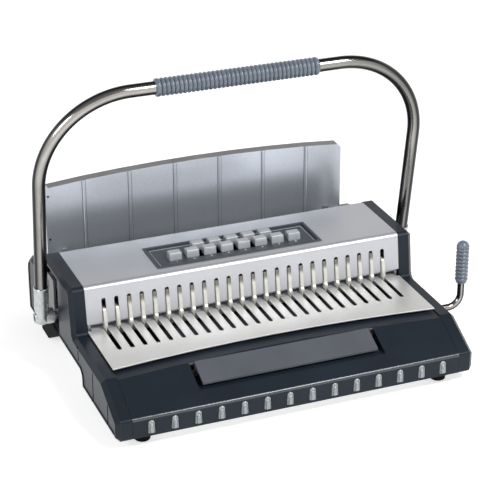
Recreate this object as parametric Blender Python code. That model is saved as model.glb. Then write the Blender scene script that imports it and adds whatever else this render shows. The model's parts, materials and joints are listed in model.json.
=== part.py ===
"""A manual comb punching and binding machine with a U handle, a hinged rear lid and a comb lever.

Metres, +Z up, +X to the user's right, +Y to the back. Sizes are first measured from three planes:
the middle of the machine (X), the front band of the fascia (Y) and the table top (Z). The last
step moves the whole machine so that the origin is the middle of its box at floor level.
"""
import math

import bmesh
import bpy
from mathutils import Matrix, Vector

# Shared fits
GAP = 0.0003
FIT = 0.0004
OVERRUN = 0.002
SHEET_STEEL = 0.0015

# Main planes, heights above the floor
FEET_HEIGHT = 0.0123
TABLE_TOP = 0.06135
COVER_TOP = 0.11065
CREASE_HEIGHT = 0.034
LIP_HEIGHT = 0.057

# Widths from the middle plane
COVER_HALF_WIDTH = 0.1845
CAP_WIDTH = 0.0172
CAP_WALL = 0.0032
CAP_EDGE_RADIUS = 0.004
CAP_CHAMFER = 0.0046
CAP_PANEL_SINK = 0.0009

# Comb pattern: 24 places, 9/16 inch apart
COMB_PITCH = 0.0142875
COMB_MARGIN = 0.0045

# Silver top cover
FACE_FOOT_Y = 0.1493
FACE_LEAN = 0.14
FACE_BOTTOM = 0.0687
COVER_REAR_Y = 0.2515
COVER_FLANGE = 0.0096
COVER_BEND = 0.006
FLANGE_BEND = 0.0025
FACE_SLOT_WIDTH = 0.0047
FACE_SLOT_TOP = 0.0957

# Work table
TABLE_SLOT_WIDTH = 0.005
TABLE_SLOT_FRONT_Y = 0.0989
TABLE_FRONT_Y = 0.061
TABLE_BOW = 0.011

# Front fascia
LIP_FRONT_Y = 0.0455
LIP_BOW = 0.011
FASCIA_WALL = 0.0024
LEDGE_FRONT_Y = 0.078
LEDGE_STEP = 0.0025
LEDGE_BACK_Y = 0.0846
FASCIA_RETURN = 0.007
POCKET_HALF_WIDTH = 0.1055
POCKET_FRONT_Y = 0.0185
POCKET_BACK_Y = 0.0518
POCKET_LINER_Y = 0.0172
POCKET_FLOOR_TOP = 0.0408
POCKET_FLOOR = 0.0016
POCKET_SIDE = 0.002

# Front studs
STUD_COUNT = 14
STUD_END_MARGIN = 0.019725
STUD_HEIGHT = 0.0228
STUD_HALF_WIDTH = 0.0037
STUD_HALF_HEIGHT = 0.0071
STUD_DEPTH = 0.0022
STUD_CHAMFER = 0.0012
STUD_STRIP = 0.0016

# Side caps
CAP_BOTTOM = 0.0105
CAP_DROP = 0.003
CAP_FACE_PROUD = 0.0004
CAP_SHOULDER_Y = 0.253
CAP_TAIL_Y = 0.272
CAP_TAIL_HEIGHT = 0.081
CAP_TAIL_BOTTOM = 0.0065
CAP_TAIL_FRONT_Y = 0.292
CAP_TAIL_LENGTH = 0.038
CAP_STEP_Y = 0.122
CAP_STEP_HEIGHT = 0.028
WINDOW_FRONT_Y = 0.203
WINDOW_BACK_Y = 0.290
WINDOW_BOTTOM = 0.0305
WINDOW_TOP = 0.102
WINDOW_MARGIN = 0.0045
GROOVE_WIDTH = 0.0028
GROOVE_DEPTH = 0.0011
GROOVES = ((0.132, 0.038, 0.055), (0.081, 0.0145, 0.052), (0.031, 0.0145, 0.043))

# Base pan and rear cover
PAN_WALL = 0.0016
PAN_FRONT_Y = 0.0098
PAN_REAR_Y = 0.2977
PAN_FLANGE = 0.0175
REAR_WALL_Y = 0.300
REAR_WALL = 0.002
DECK_HEIGHT = 0.059

# Frame plates
FRAME_INSET = 0.0045
FRAME_THICKNESS = 0.003
FRAME_FRONT_Y = 0.085
FRAME_REAR_Y = 0.2465

# Feet
FRONT_FOOT_INSET = 0.0155
FRONT_FOOT_Y = 0.0185
FRONT_FOOT_RADIUS = 0.0095
REAR_FOOT_WIDTH = 0.014
REAR_FOOT_TOP_Y = 0.214
REAR_FOOT_FRONT_Y = 0.262
REAR_FOOT_BACK_Y = 0.2885
REAR_FOOT_HEIGHT = 0.027

# Dies and punches
THROAT_GAP = 0.0052
DIE_FRONT_Y = 0.1497
DIE_BACK_Y = 0.170
DIE_HEIGHT = 0.008
GUIDE_FRONT_Y = 0.1527
GUIDE_BACK_Y = 0.168
GUIDE_HEIGHT = 0.0056
PIN_LENGTH_Y = 0.003
PIN_LENGTH_X = 0.0079
PIN_Y = 0.160
PIN_CARRIER = 0.0018
BAR_FRONT_Y = 0.158
BAR_BACK_Y = 0.171
BAR_BOTTOM = 0.095
BAR_TOP = 0.104
BAR_STUB_Y = 0.1655
BAR_STUB_RADIUS = 0.004

# Handle
PIVOT_Y = 0.217
PIVOT_Z = 0.053
HANDLE_RADIUS = 0.264
HANDLE_LEAN = math.radians(8.05)
HANDLE_STANDOFF = 0.0145
HANDLE_SPLAY = 0.0091
HANDLE_BEND = 0.099
TUBE_RADIUS = 0.0071
HANDLE_GRIP_HALF = 0.0925
HANDLE_GRIP_RADIUS = 0.0102
HANDLE_GRIP_VALLEY = 0.0092
HANDLE_GRIP_RIBS = 36
SOCKET_RADIUS = 0.0083
SOCKET_HEIGHT = 0.040
SOCKET_START = 0.013
BALL_RADIUS = 0.0093
BOSS_RADIUS = 0.009
BOSS_STANDOFF = 0.0015
BOLT_RADIUS = 0.0036
BOLT_SINK = 0.003

# Drive shaft, eccentrics and pull links
SHAFT_RADIUS = 0.0055
SHAFT_END_INSET = 0.004
ECCENTRIC_THROW = 0.005
ECCENTRIC_LEAD = math.radians(40)
ECCENTRIC_RADIUS = 0.011
LINK_INSET = 0.0042
LINK_THICKNESS = 0.006
LINK_RING_CLEARANCE = 0.0014
LINK_RING_WALL = 0.0033
LINK_EYE_RADIUS = 0.0062
LINK_HALF_WIDTH = 0.004
BUSH_RADIUS = 0.011
BUSH_END = 0.0016

# Return spring on the drive shaft
SPRING_WIRE = 0.0016
SPRING_TURNS = 7
SPRING_PITCH = 0.0042
SPRING_POINTS_PER_TURN = 8

# Bearing plates seen in the side windows
PLATE_THICKNESS = 0.0025
PLATE_FRONT_Y = 0.2295
PLATE_BACK_Y = 0.2685
PLATE_BOTTOM = CAP_STEP_HEIGHT + CAP_WALL + GAP
PLATE_TOP = 0.088
PLATE_CUT = 0.008

# Comb hooks
HOOK_WIDTH = 0.0036
HOOK_TOP = 0.084
HOOK_TIP = 0.0932
HOOK_TIP_DEPTH = 0.0026
HOOK_FRONT_Y = 0.1462
HOOK_BACK_Y = 0.1522
HOOK_BOTTOM = 0.0622
HOOK_NECK_Y = 0.1496
HOOK_SLIT = 0.0013
STEM_WIDTH = 0.0015
STEM_DEPTH = 0.0018
STEM_BOTTOM = 0.0565
RAKE_FRONT_Y = 0.1926
RAKE_DEPTH = 0.0068

# Opener lever
LEVER_STANDOFF = 0.0195
LEVER_Y = 0.097
LEVER_Z = 0.038
LEVER_ROD_RADIUS = 0.004
LEVER_BEND = 0.015
LEVER_TOP = 0.105
LEVER_GRIP_BOTTOM = 0.0673
LEVER_GRIP_TOP = 0.118
LEVER_GRIP_RADIUS = 0.0073
LEVER_GRIP_VALLEY = 0.0063
LEVER_GRIP_RIBS = 8
CRANK_RADIUS = 0.015
CRANK_SWING = math.radians(50)
CRANK_HUB_RADIUS = 0.007
CRANK_END_RADIUS = 0.0022
CRANK_PIN_RADIUS = 0.0018
CRANK_THICKNESS = 0.003
FORK_CLEARANCE = 0.0011
FORK_WALL = 0.0025
OPENER_LINK_THICKNESS = 0.0025
OPENER_BAR_HEIGHT = 0.0042

# Chip drawer
DRAWER_HALF_WIDTH = 0.098
DRAWER_FRONT_Y = 0.054
DRAWER_BACK_Y = 0.175
DRAWER_BOTTOM = 0.0425
DRAWER_TOP = 0.0522
DRAWER_WALL = 0.0018
PULL_HALF_WIDTH = 0.0995
PULL_FRONT_Y = 0.0255
PULL_BACK_Y = 0.0513
PULL_RISE = 0.0008
PULL_THICKNESS = 0.0026
PULL_STUD_X = 0.094
PULL_STUD_Y = 0.0305
PULL_STUD_RADIUS = 0.0025
PULL_STUD_HEIGHT = 0.002
RUNNER_THICKNESS = 0.0019
RUNNER_SHELF = 0.010
RUNNER_LIP_HEIGHT = 0.0047
RUNNER_FRONT_Y = 0.0545
RUNNER_BACK_Y = 0.180

# Pin selector panel
TRAY_HALF_WIDTH = 0.0957
TRAY_FRONT_Y = 0.1716
TRAY_BACK_Y = 0.2222
TRAY_RIM = 0.0014
TRAY_RIM_HEIGHT = 0.0007
TRAY_WALL = 0.0018
TRAY_DEPTH = 0.0014
TRAY_FLOOR = 0.0022
BUTTON_PITCH = 0.02015
BUTTON_WIDTH = 0.0143
BUTTON_DEPTH = 0.0108
BUTTON_RISE = 0.0069
BUTTON_STEM = 0.0035
BUTTON_EDGE = 0.0008
BUTTON_SLOPE = 0.0012
BUTTON_ROWS = ((8, 0.00035, 0.1918), (5, 0.0020, 0.2066))

# Rear lid
LID_END_GAP = 0.0025
LID_FRONT_Y = 0.308
LID_THICKNESS = 0.013
LID_BOTTOM = 0.026
LID_SHOULDER = 0.1633
LID_CROWN = 0.0079
LID_CORNER = 0.004
LID_WALL = 0.0022
LID_BACK_INSET = 0.0004
LID_RIBS = 6
LID_RIB_SHARE = 0.3
LID_RIB_WIDTH = 0.0034
LID_RIB_RISE = 0.0009
LID_PIVOT_Y = 0.260
LID_PIVOT_Z = 0.0715
LID_ARM_INSET = 0.022
LID_ARM_WIDTH = 0.006
LID_ARM_HALF_HEIGHT = 0.005
LID_EYE_RADIUS = 0.0065
LID_PIN_RADIUS = 0.0025
LID_FOOT_HALF_HEIGHT = 0.015
LID_FOOT_THICKNESS = 0.0028
BRACKET_THICKNESS = 0.005
BRACKET_HALF_FOOT = 0.009
RAIL_THICKNESS = 0.0018

# Roundness of turned and bent pieces
ROUND_SIDES = 16
FINE_SIDES = 12
CORNER_STEPS = 3
BEND_STEPS = 12
BOW_STEPS = 8


# Places worked out from the sizes above
CAP_INNER_X = COVER_HALF_WIDTH + GAP
CAP_OUTER_X = CAP_INNER_X + CAP_WIDTH
CAP_CAVITY_X = CAP_OUTER_X - CAP_WALL
CAP_LOWER_TOP = TABLE_TOP - CAP_DROP
DEPTH = CAP_TAIL_FRONT_Y + CAP_TAIL_LENGTH
FRAME_INNER_X = COVER_HALF_WIDTH - FRAME_INSET
FRAME_OUTER_X = FRAME_INNER_X + FRAME_THICKNESS
FRAME_BOTTOM = FEET_HEIGHT + GAP + PAN_WALL + GAP
BLOCK_HALF_WIDTH = FRAME_INNER_X - GAP
COMB_PLACES = 2 * int((BLOCK_HALF_WIDTH - COMB_MARGIN) / COMB_PITCH)
PLAIN_PLACES = (0, 1, COMB_PLACES - 1)
STUD_PITCH = 2 * (COVER_HALF_WIDTH - STUD_END_MARGIN) / (STUD_COUNT - 1)
FRONT_FOOT_X = COVER_HALF_WIDTH - FRONT_FOOT_INSET
HANDLE_HALF_WIDTH = CAP_OUTER_X + HANDLE_STANDOFF
BOSS_INNER_X = CAP_OUTER_X + BOSS_STANDOFF
SHAFT_END_X = HANDLE_HALF_WIDTH - SHAFT_END_INSET
LINK_INNER_X = CAP_INNER_X + LINK_INSET
LINK_OUTER_X = LINK_INNER_X + LINK_THICKNESS
LEVER_X = HANDLE_HALF_WIDTH + LEVER_STANDOFF
LID_HALF_WIDTH = COVER_HALF_WIDTH - LID_END_GAP
LID_RIB_PITCH = LID_RIB_SHARE * LID_HALF_WIDTH
LID_ARM_X = LID_HALF_WIDTH - LID_ARM_INSET
TABLE_BOTTOM = TABLE_TOP - SHEET_STEEL
DIE_TOP = TABLE_TOP - GAP
DIE_BOTTOM = DIE_TOP - DIE_HEIGHT
GUIDE_BOTTOM = DIE_TOP + THROAT_GAP
GUIDE_TOP = GUIDE_BOTTOM + GUIDE_HEIGHT
HOOK_ARM_BOTTOM = GUIDE_TOP + FIT
RAKE_BACK_Y = RAKE_FRONT_Y + RAKE_DEPTH
RAKE_TRAVEL = 2 * CRANK_RADIUS * math.sin(CRANK_SWING)
OPENER_LINK_X = FRAME_OUTER_X + GAP + RAKE_DEPTH / 8
OPENER_BAR_BOTTOM = LEVER_Z + LEVER_ROD_RADIUS + GAP
CRANK_X = OPENER_LINK_X + OPENER_LINK_THICKNESS + 2 * GAP
CRANK_PIN_Y = LEVER_Y + CRANK_RADIUS * math.sin(CRANK_SWING)
CRANK_PIN_Z = LEVER_Z + CRANK_RADIUS * math.cos(CRANK_SWING)
ECCENTRIC_ANGLE = math.atan2(
    (BAR_TOP + BAR_BOTTOM) / 2 - PIVOT_Z, BAR_STUB_Y - PIVOT_Y) + ECCENTRIC_LEAD
ECCENTRIC_Y = PIVOT_Y + ECCENTRIC_THROW * math.cos(ECCENTRIC_ANGLE)
ECCENTRIC_Z = PIVOT_Z + ECCENTRIC_THROW * math.sin(ECCENTRIC_ANGLE)
BAR_MIDDLE = (BAR_TOP + BAR_BOTTOM) / 2


def face_y(height):
    """Outer face of the leaning front of the cover at a height."""
    return FACE_FOOT_Y + FACE_LEAN * (height - TABLE_TOP)


def comb_x(place):
    """Middle of a comb place, counted from the left."""
    return (place - (COMB_PLACES - 1) / 2) * COMB_PITCH


def bow(x, depth):
    """How far a bowed front edge is drawn back at x."""
    return depth * (1 - (x / COVER_HALF_WIDTH) ** 2)


# Outlines in two dimensions
def turn_left(direction):
    return Vector((-direction.y, direction.x))


def offset_path(points, distance, closed):
    """Each corner moved to its left by the distance, with mitred corners."""
    count = len(points)
    moved = []
    for i, point in enumerate(points):
        here = Vector(point)
        before = Vector(points[i - 1]) if closed or i > 0 else None
        after = Vector(points[(i + 1) % count]) if closed or i < count - 1 else None
        sides = []
        if before is not None:
            sides.append((here - before).normalized())
        if after is not None:
            sides.append((after - here).normalized())
        normals = [turn_left(side) for side in sides]
        middle = sum(normals, Vector((0, 0))).normalized()
        moved.append(tuple(here + middle * distance / middle.dot(normals[0])))
    return moved


def round_path(points, radii, closed, steps=CORNER_STEPS):
    """Corners replaced by arcs. A radius of zero keeps the corner as it is."""
    count = len(points)
    rounded = []
    for i, point in enumerate(points):
        here = Vector(point)
        if radii[i] <= 0 or (not closed and i in (0, count - 1)):
            rounded.append(tuple(here))
            continue
        back = (Vector(points[i - 1]) - here).normalized()
        ahead = (Vector(points[(i + 1) % count]) - here).normalized()
        half = back.angle(ahead) / 2
        centre = here + (back + ahead).normalized() * radii[i] / math.sin(half)
        first = here + back * radii[i] / math.tan(half) - centre
        last = here + ahead * radii[i] / math.tan(half) - centre
        for step in range(steps + 1):
            share = step / steps
            spoke = (first * (1 - share) + last * share).normalized() * radii[i]
            rounded.append(tuple(centre + spoke))
    return rounded


def sheet_outline(path, thickness):
    """Closed outline of a folded sheet whose outer side is the path."""
    return list(path) + offset_path(path, thickness, closed=False)[::-1]


def circle(centre, radius, sides=ROUND_SIDES):
    return [(centre[0] + radius * math.cos(2 * math.pi * i / sides),
             centre[1] + radius * math.sin(2 * math.pi * i / sides)) for i in range(sides)]


def arc(centre, radius, start, end, steps):
    return [(centre[0] + radius * math.cos(start + (end - start) * i / steps),
             centre[1] + radius * math.sin(start + (end - start) * i / steps))
            for i in range(steps + 1)]


def capsule(first, second, first_radius, second_radius, steps=6):
    """Outline of a flat bar with round ends."""
    angle = math.atan2(second[1] - first[1], second[0] - first[0])
    quarter = math.pi / 2
    return (arc(first, first_radius, angle + quarter, angle + 3 * quarter, steps)
            + arc(second, second_radius, angle - quarter, angle + quarter, steps))


# Solids in bmesh
def loft(loops):
    """One closed solid through loops of equal length, capped at both ends."""
    bm = bmesh.new()
    rings = [[bm.verts.new(point) for point in loop] for loop in loops]
    count = len(rings[0])
    for ring, following in zip(rings, rings[1:]):
        for i in range(count):
            j = (i + 1) % count
            bm.faces.new((ring[i], ring[j], following[j], following[i]))
    bm.faces.new(rings[0])
    bm.faces.new(rings[-1])
    bmesh.ops.recalc_face_normals(bm, faces=bm.faces)
    return bm


def along(axis, outline, place):
    """Outline points set at a place along an axis."""
    if axis == "x":
        return [(place, point[0], point[1]) for point in outline]
    if axis == "y":
        return [(point[0], place, point[1]) for point in outline]
    return [(point[0], point[1], place) for point in outline]


def prism(axis, outline, start, end):
    return loft([along(axis, outline, start), along(axis, outline, end)])


def box(xs, ys, zs):
    outline = [(xs[0], ys[0]), (xs[1], ys[0]), (xs[1], ys[1]), (xs[0], ys[1])]
    return prism("z", outline, zs[0], zs[1])


def rectangle(half_x, front_y, back_y):
    return [(-half_x, front_y), (half_x, front_y), (half_x, back_y), (-half_x, back_y)]


def rod(path, radii, sides=ROUND_SIDES):
    """A round bar along a path, with one radius for each point of it."""
    points = [Vector(point) for point in path]
    ways = [(b - a).normalized() for a, b in zip(points, points[1:])]
    loops = []
    side = ways[0].orthogonal().normalized()
    for i, point in enumerate(points):
        before = ways[max(i - 1, 0)]
        after = ways[min(i, len(ways) - 1)]
        way = (before + after).normalized()
        side = (side - way * side.dot(way)).normalized()
        other = way.cross(side)
        loops.append([point + (side * math.cos(2 * math.pi * k / sides)
                               + other * math.sin(2 * math.pi * k / sides)) * radii[i]
                      for k in range(sides)])
    return loft(loops)


def cylinder(start, end, radius, sides=ROUND_SIDES):
    return rod([start, end], [radius, radius], sides)


def ball(centre, radius):
    bm = bmesh.new()
    bmesh.ops.create_uvsphere(bm, u_segments=ROUND_SIDES, v_segments=ROUND_SIDES // 2, radius=radius)
    bmesh.ops.translate(bm, verts=bm.verts, vec=centre)
    return bm


def together(solids):
    """Several separate solids as one mesh."""
    whole = bmesh.new()
    scratch = bpy.data.meshes.new("scratch")
    for solid in solids:
        solid.to_mesh(scratch)
        solid.free()
        whole.from_mesh(scratch)
    bpy.data.meshes.remove(scratch)
    return whole


def mirrored(bm):
    """The same solid on the other side of the middle plane."""
    twin = bm.copy()
    bmesh.ops.transform(twin, matrix=Matrix.Scale(-1, 4, (1, 0, 0)), verts=twin.verts)
    bmesh.ops.reverse_faces(twin, faces=twin.faces)
    return twin


# Materials
def material(name, colour, roughness, metallic):
    made = bpy.data.materials.new(name)
    made.use_nodes = True
    shader = made.node_tree.nodes["Principled BSDF"]
    shader.inputs["Base Color"].default_value = (*colour, 1)
    shader.inputs["Roughness"].default_value = roughness
    shader.inputs["Metallic"].default_value = metallic
    made.diffuse_color = (*colour, 1)
    return made


def make_materials():
    return {
        "silver": material("satin_silver", (0.58, 0.60, 0.63), 0.38, 0.6),
        "brushed": material("brushed_steel", (0.66, 0.66, 0.65), 0.32, 0.9),
        "charcoal": material("charcoal_plastic", (0.028, 0.038, 0.052), 0.45, 0.0),
        "slate": material("slate_plastic", (0.13, 0.15, 0.18), 0.5, 0.0),
        "black": material("black_rubber", (0.01, 0.01, 0.011), 0.8, 0.0),
        "grip": material("grip_rubber", (0.17, 0.21, 0.26), 0.6, 0.0),
        "chrome": material("polished_tube", (0.62, 0.61, 0.59), 0.12, 1.0),
        "cast": material("cast_alloy", (0.42, 0.43, 0.44), 0.5, 0.7),
        "hook": material("hook_steel", (0.74, 0.72, 0.66), 0.4, 0.5),
        "plated": material("plated_steel", (0.45, 0.46, 0.47), 0.35, 0.9),
        "stud": material("stud_plastic", (0.36, 0.40, 0.43), 0.4, 0.2),
        "button": material("button_plastic", (0.40, 0.43, 0.47), 0.4, 0.3),
        "lid": material("lid_plastic", (0.46, 0.49, 0.54), 0.35, 0.3),
    }


# Assembly
class Assembly:
    """Keeps the machine's materials and the empties that its bodies hang on."""

    def __init__(self):
        self.materials = make_materials()
        self.bodies = {}
        self.tools = 0

    def body(self, name, pivot=(0, 0, 0), parent=None):
        empty = bpy.data.objects.new(name, None)
        bpy.context.collection.objects.link(empty)
        empty["pivot"] = pivot
        above = Vector((0, 0, 0))
        if parent is not None:
            empty.parent = self.bodies[parent]
            above = Vector(empty.parent["pivot"])
        empty.location = Vector(pivot) - above
        self.bodies[name] = empty

    def add(self, name, bm, material_name, body="machine", smooth=False):
        obj = self.link(name, bm, body)
        obj.data.materials.append(self.materials[material_name])
        if smooth:
            obj.data.shade_smooth()
            obj.data.set_sharp_from_angle(angle=math.radians(35))
        return obj

    def link(self, name, bm, body):
        mesh = bpy.data.meshes.new(name)
        empty = self.bodies[body]
        bmesh.ops.translate(bm, verts=bm.verts, vec=-Vector(empty["pivot"]))
        bm.to_mesh(mesh)
        bm.free()
        obj = bpy.data.objects.new(name, mesh)
        bpy.context.collection.objects.link(obj)
        obj.parent = empty
        return obj

    def combine(self, obj, bm, operation):
        self.tools += 1
        tool = self.link(f"tool_{self.tools:03d}", bm, obj.parent.name)
        tool.hide_render = True
        tool.display_type = "WIRE"
        modifier = obj.modifiers.new(tool.name, "BOOLEAN")
        modifier.operation = operation
        modifier.solver = "EXACT"
        modifier.object = tool

    def cut(self, obj, bm):
        self.combine(obj, bm, "DIFFERENCE")

    def join(self, obj, bm):
        self.combine(obj, bm, "UNION")


def sides():
    """The two sides of the machine: a name and a sign."""
    return (("left", -1), ("right", 1))


def on_side(sign, bm):
    return bm if sign > 0 else mirrored(bm)


# Base
def make_base_pan(machine):
    floor = FEET_HEIGHT + GAP
    path = [(PAN_FRONT_Y, floor + PAN_FLANGE), (PAN_FRONT_Y, floor),
            (PAN_REAR_Y, floor), (PAN_REAR_Y, floor + PAN_FLANGE)]
    outline = sheet_outline(path, PAN_WALL)
    machine.add("base_pan", prism("x", outline, -COVER_HALF_WIDTH, COVER_HALF_WIDTH), "plated")


def make_rear_cover(machine):
    upstand_y = COVER_REAR_Y - SHEET_STEEL - GAP
    flange_bottom = COVER_TOP - COVER_FLANGE
    path = [(REAR_WALL_Y, FEET_HEIGHT), (REAR_WALL_Y, DECK_HEIGHT),
            (upstand_y, DECK_HEIGHT), (upstand_y, flange_bottom + COVER_FLANGE / 2)]
    outline = sheet_outline(path, REAR_WALL)
    machine.add("rear_cover", prism("x", outline, -COVER_HALF_WIDTH, COVER_HALF_WIDTH), "charcoal")


def make_feet(machine, name, sign):
    front = cylinder((sign * FRONT_FOOT_X, FRONT_FOOT_Y, 0),
                     (sign * FRONT_FOOT_X, FRONT_FOOT_Y, FEET_HEIGHT), FRONT_FOOT_RADIUS)
    machine.add(f"front_foot_{name}", front, "black", smooth=True)
    outline = [(REAR_FOOT_TOP_Y, REAR_FOOT_HEIGHT), (REAR_FOOT_FRONT_Y, 0),
               (REAR_FOOT_BACK_Y, 0), (REAR_FOOT_BACK_Y, REAR_FOOT_HEIGHT)]
    rear = prism("x", outline, CAP_INNER_X, CAP_INNER_X + REAR_FOOT_WIDTH)
    machine.add(f"rear_foot_{name}", on_side(sign, rear), "black")


# Fascia
def fascia_path(x):
    lip_y = LIP_FRONT_Y + bow(x, LIP_BOW)
    ledge = LIP_HEIGHT + LEDGE_STEP
    return [(LEDGE_BACK_Y, ledge), (LEDGE_FRONT_Y + LEDGE_STEP, ledge), (LEDGE_FRONT_Y, LIP_HEIGHT),
            (lip_y, LIP_HEIGHT), (0, CREASE_HEIGHT), (0, FEET_HEIGHT), (FASCIA_RETURN, FEET_HEIGHT)]


def make_fascia(machine):
    loops = []
    for step in range(BOW_STEPS + 1):
        x = COVER_HALF_WIDTH * (2 * step / BOW_STEPS - 1)
        loops.append(along("x", sheet_outline(fascia_path(x), FASCIA_WALL), x))
    shell = loft(loops)
    bmesh.ops.triangulate(shell, faces=shell.faces)
    fascia = machine.add("fascia", shell, "charcoal")
    side_x = POCKET_HALF_WIDTH + POCKET_SIDE
    slope = (LIP_HEIGHT - CREASE_HEIGHT) / (LIP_FRONT_Y + bow(side_x, LIP_BOW))
    floor_bottom = POCKET_FLOOR_TOP - POCKET_FLOOR
    liner_back = POCKET_BACK_Y - GAP
    middle = CREASE_HEIGHT - FASCIA_WALL / 2
    liner = [(POCKET_LINER_Y, floor_bottom), (liner_back, floor_bottom), (liner_back, middle + slope * liner_back),
             (POCKET_LINER_Y, middle + slope * POCKET_LINER_Y)]
    machine.join(fascia, prism("x", liner, -side_x, side_x))
    pocket = box((-POCKET_HALF_WIDTH, POCKET_HALF_WIDTH), (POCKET_FRONT_Y, POCKET_BACK_Y),
                 (POCKET_FLOOR_TOP, LIP_HEIGHT + FASCIA_WALL))
    machine.cut(fascia, pocket)
    holes = [prism("y", [(x + point[0], point[1]) for point in stud_outline(-GAP)],
                   -OVERRUN, FASCIA_WALL + OVERRUN) for x in stud_places()]
    machine.cut(fascia, together(holes))


def stud_outline(inset):
    half = STUD_HALF_WIDTH - inset
    spring_line = STUD_HEIGHT + STUD_HALF_HEIGHT - STUD_HALF_WIDTH
    foot = STUD_HEIGHT - STUD_HALF_HEIGHT + inset
    return ([(-half, foot), (half, foot)]
            + arc((0, spring_line), half, 0, math.pi, 6))


def stud_places():
    return [(i - (STUD_COUNT - 1) / 2) * STUD_PITCH for i in range(STUD_COUNT)]


def make_front_studs(machine):
    """A strip inside the fascia whose studs stand out through its front band."""
    strip_y = FASCIA_WALL + GAP
    half = stud_places()[-1] + STUD_HALF_WIDTH
    strip = machine.add("front_studs", box((-half, half), (strip_y, strip_y + STUD_STRIP), (
        STUD_HEIGHT - STUD_HALF_HEIGHT / 2, STUD_HEIGHT + STUD_HALF_HEIGHT / 2)), "stud")
    studs = []
    for x in stud_places():
        loops = []
        for y, inset in ((strip_y + STUD_STRIP / 2, 0), (STUD_CHAMFER / 2 - STUD_DEPTH, 0),
                         (-STUD_DEPTH - GAP, STUD_CHAMFER)):
            loops.append([(x + point[0], y, point[1]) for point in stud_outline(inset)])
        studs.append(loft(loops))
    machine.join(strip, together(studs))


# Side caps
def cap_outline(inset):
    """Side view of a cap, drawn in by the inset, with its corners rounded."""
    slope = (LIP_HEIGHT - CREASE_HEIGHT) / LIP_FRONT_Y
    points = [(0, CAP_BOTTOM), (CAP_STEP_Y, CAP_BOTTOM), (CAP_STEP_Y, CAP_STEP_HEIGHT),
              (CAP_TAIL_FRONT_Y, CAP_STEP_HEIGHT), (CAP_TAIL_FRONT_Y, CAP_TAIL_BOTTOM),
              (DEPTH, CAP_TAIL_BOTTOM), (DEPTH, CAP_TAIL_HEIGHT), (CAP_TAIL_Y, CAP_TAIL_HEIGHT),
              (CAP_SHOULDER_Y, COVER_TOP - GAP), (face_y(COVER_TOP) - CAP_FACE_PROUD, COVER_TOP - GAP),
              (face_y(CAP_LOWER_TOP) - CAP_FACE_PROUD, CAP_LOWER_TOP),
              ((CAP_LOWER_TOP - CREASE_HEIGHT) / slope, CAP_LOWER_TOP), (0, CREASE_HEIGHT)]
    outer_radii = [CAP_EDGE_RADIUS, CAP_EDGE_RADIUS, -CAP_EDGE_RADIUS, -CAP_EDGE_RADIUS,
                   CAP_EDGE_RADIUS, CAP_EDGE_RADIUS, CAP_TAIL_FRONT_Y - CAP_TAIL_Y, -CAP_EDGE_RADIUS,
                   CAP_EDGE_RADIUS, COVER_BEND, -CAP_EDGE_RADIUS, COVER_BEND, CAP_EDGE_RADIUS]
    drawn = offset_path(points, inset, closed=True)
    radii = [max(radius - inset, GAP) if radius > 0 else inset - radius for radius in outer_radii]
    return round_path(drawn, radii, closed=True)


def window_outline():
    """The opening in a cap's side round the handle's socket."""
    slope = (COVER_TOP - CAP_TAIL_HEIGHT) / (CAP_TAIL_Y - CAP_SHOULDER_Y)
    tail = CAP_TAIL_HEIGHT - WINDOW_MARGIN
    elbow_y = CAP_TAIL_Y - WINDOW_MARGIN
    return [(WINDOW_FRONT_Y, WINDOW_BOTTOM), (WINDOW_BACK_Y, WINDOW_BOTTOM), (WINDOW_BACK_Y, tail),
            (elbow_y, tail), (elbow_y - (WINDOW_TOP - tail) / slope, WINDOW_TOP),
            (WINDOW_FRONT_Y, WINDOW_TOP)]


def make_side_cap(machine, name, sign):
    panel_x = CAP_OUTER_X - CAP_PANEL_SINK
    panel_inset = CAP_CHAMFER + 2 * CAP_PANEL_SINK
    stations = [(CAP_CAVITY_X, CAP_WALL), (CAP_INNER_X, CAP_WALL), (CAP_INNER_X, 0), (CAP_OUTER_X - CAP_CHAMFER, 0),
                (CAP_OUTER_X, CAP_CHAMFER), (CAP_OUTER_X, panel_inset), (panel_x, panel_inset)]
    shell = loft([along("x", cap_outline(inset), x) for x, inset in stations])
    cap = machine.add(f"side_cap_{name}", on_side(sign, shell), "charcoal")
    window = prism("x", window_outline(), CAP_CAVITY_X - OVERRUN, CAP_OUTER_X + OVERRUN)
    machine.cut(cap, on_side(sign, window))
    grooves = [box((panel_x - GROOVE_DEPTH, CAP_OUTER_X + OVERRUN),
                   (y - GROOVE_WIDTH / 2, y + GROOVE_WIDTH / 2), (low, high))
               for y, low, high in GROOVES]
    machine.cut(cap, on_side(sign, together(grooves)))
    if sign > 0:
        hole = cylinder((CAP_CAVITY_X - OVERRUN, LEVER_Y, LEVER_Z),
                        (CAP_OUTER_X + OVERRUN, LEVER_Y, LEVER_Z), LEVER_ROD_RADIUS + FIT)
        machine.cut(cap, hole)


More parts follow.
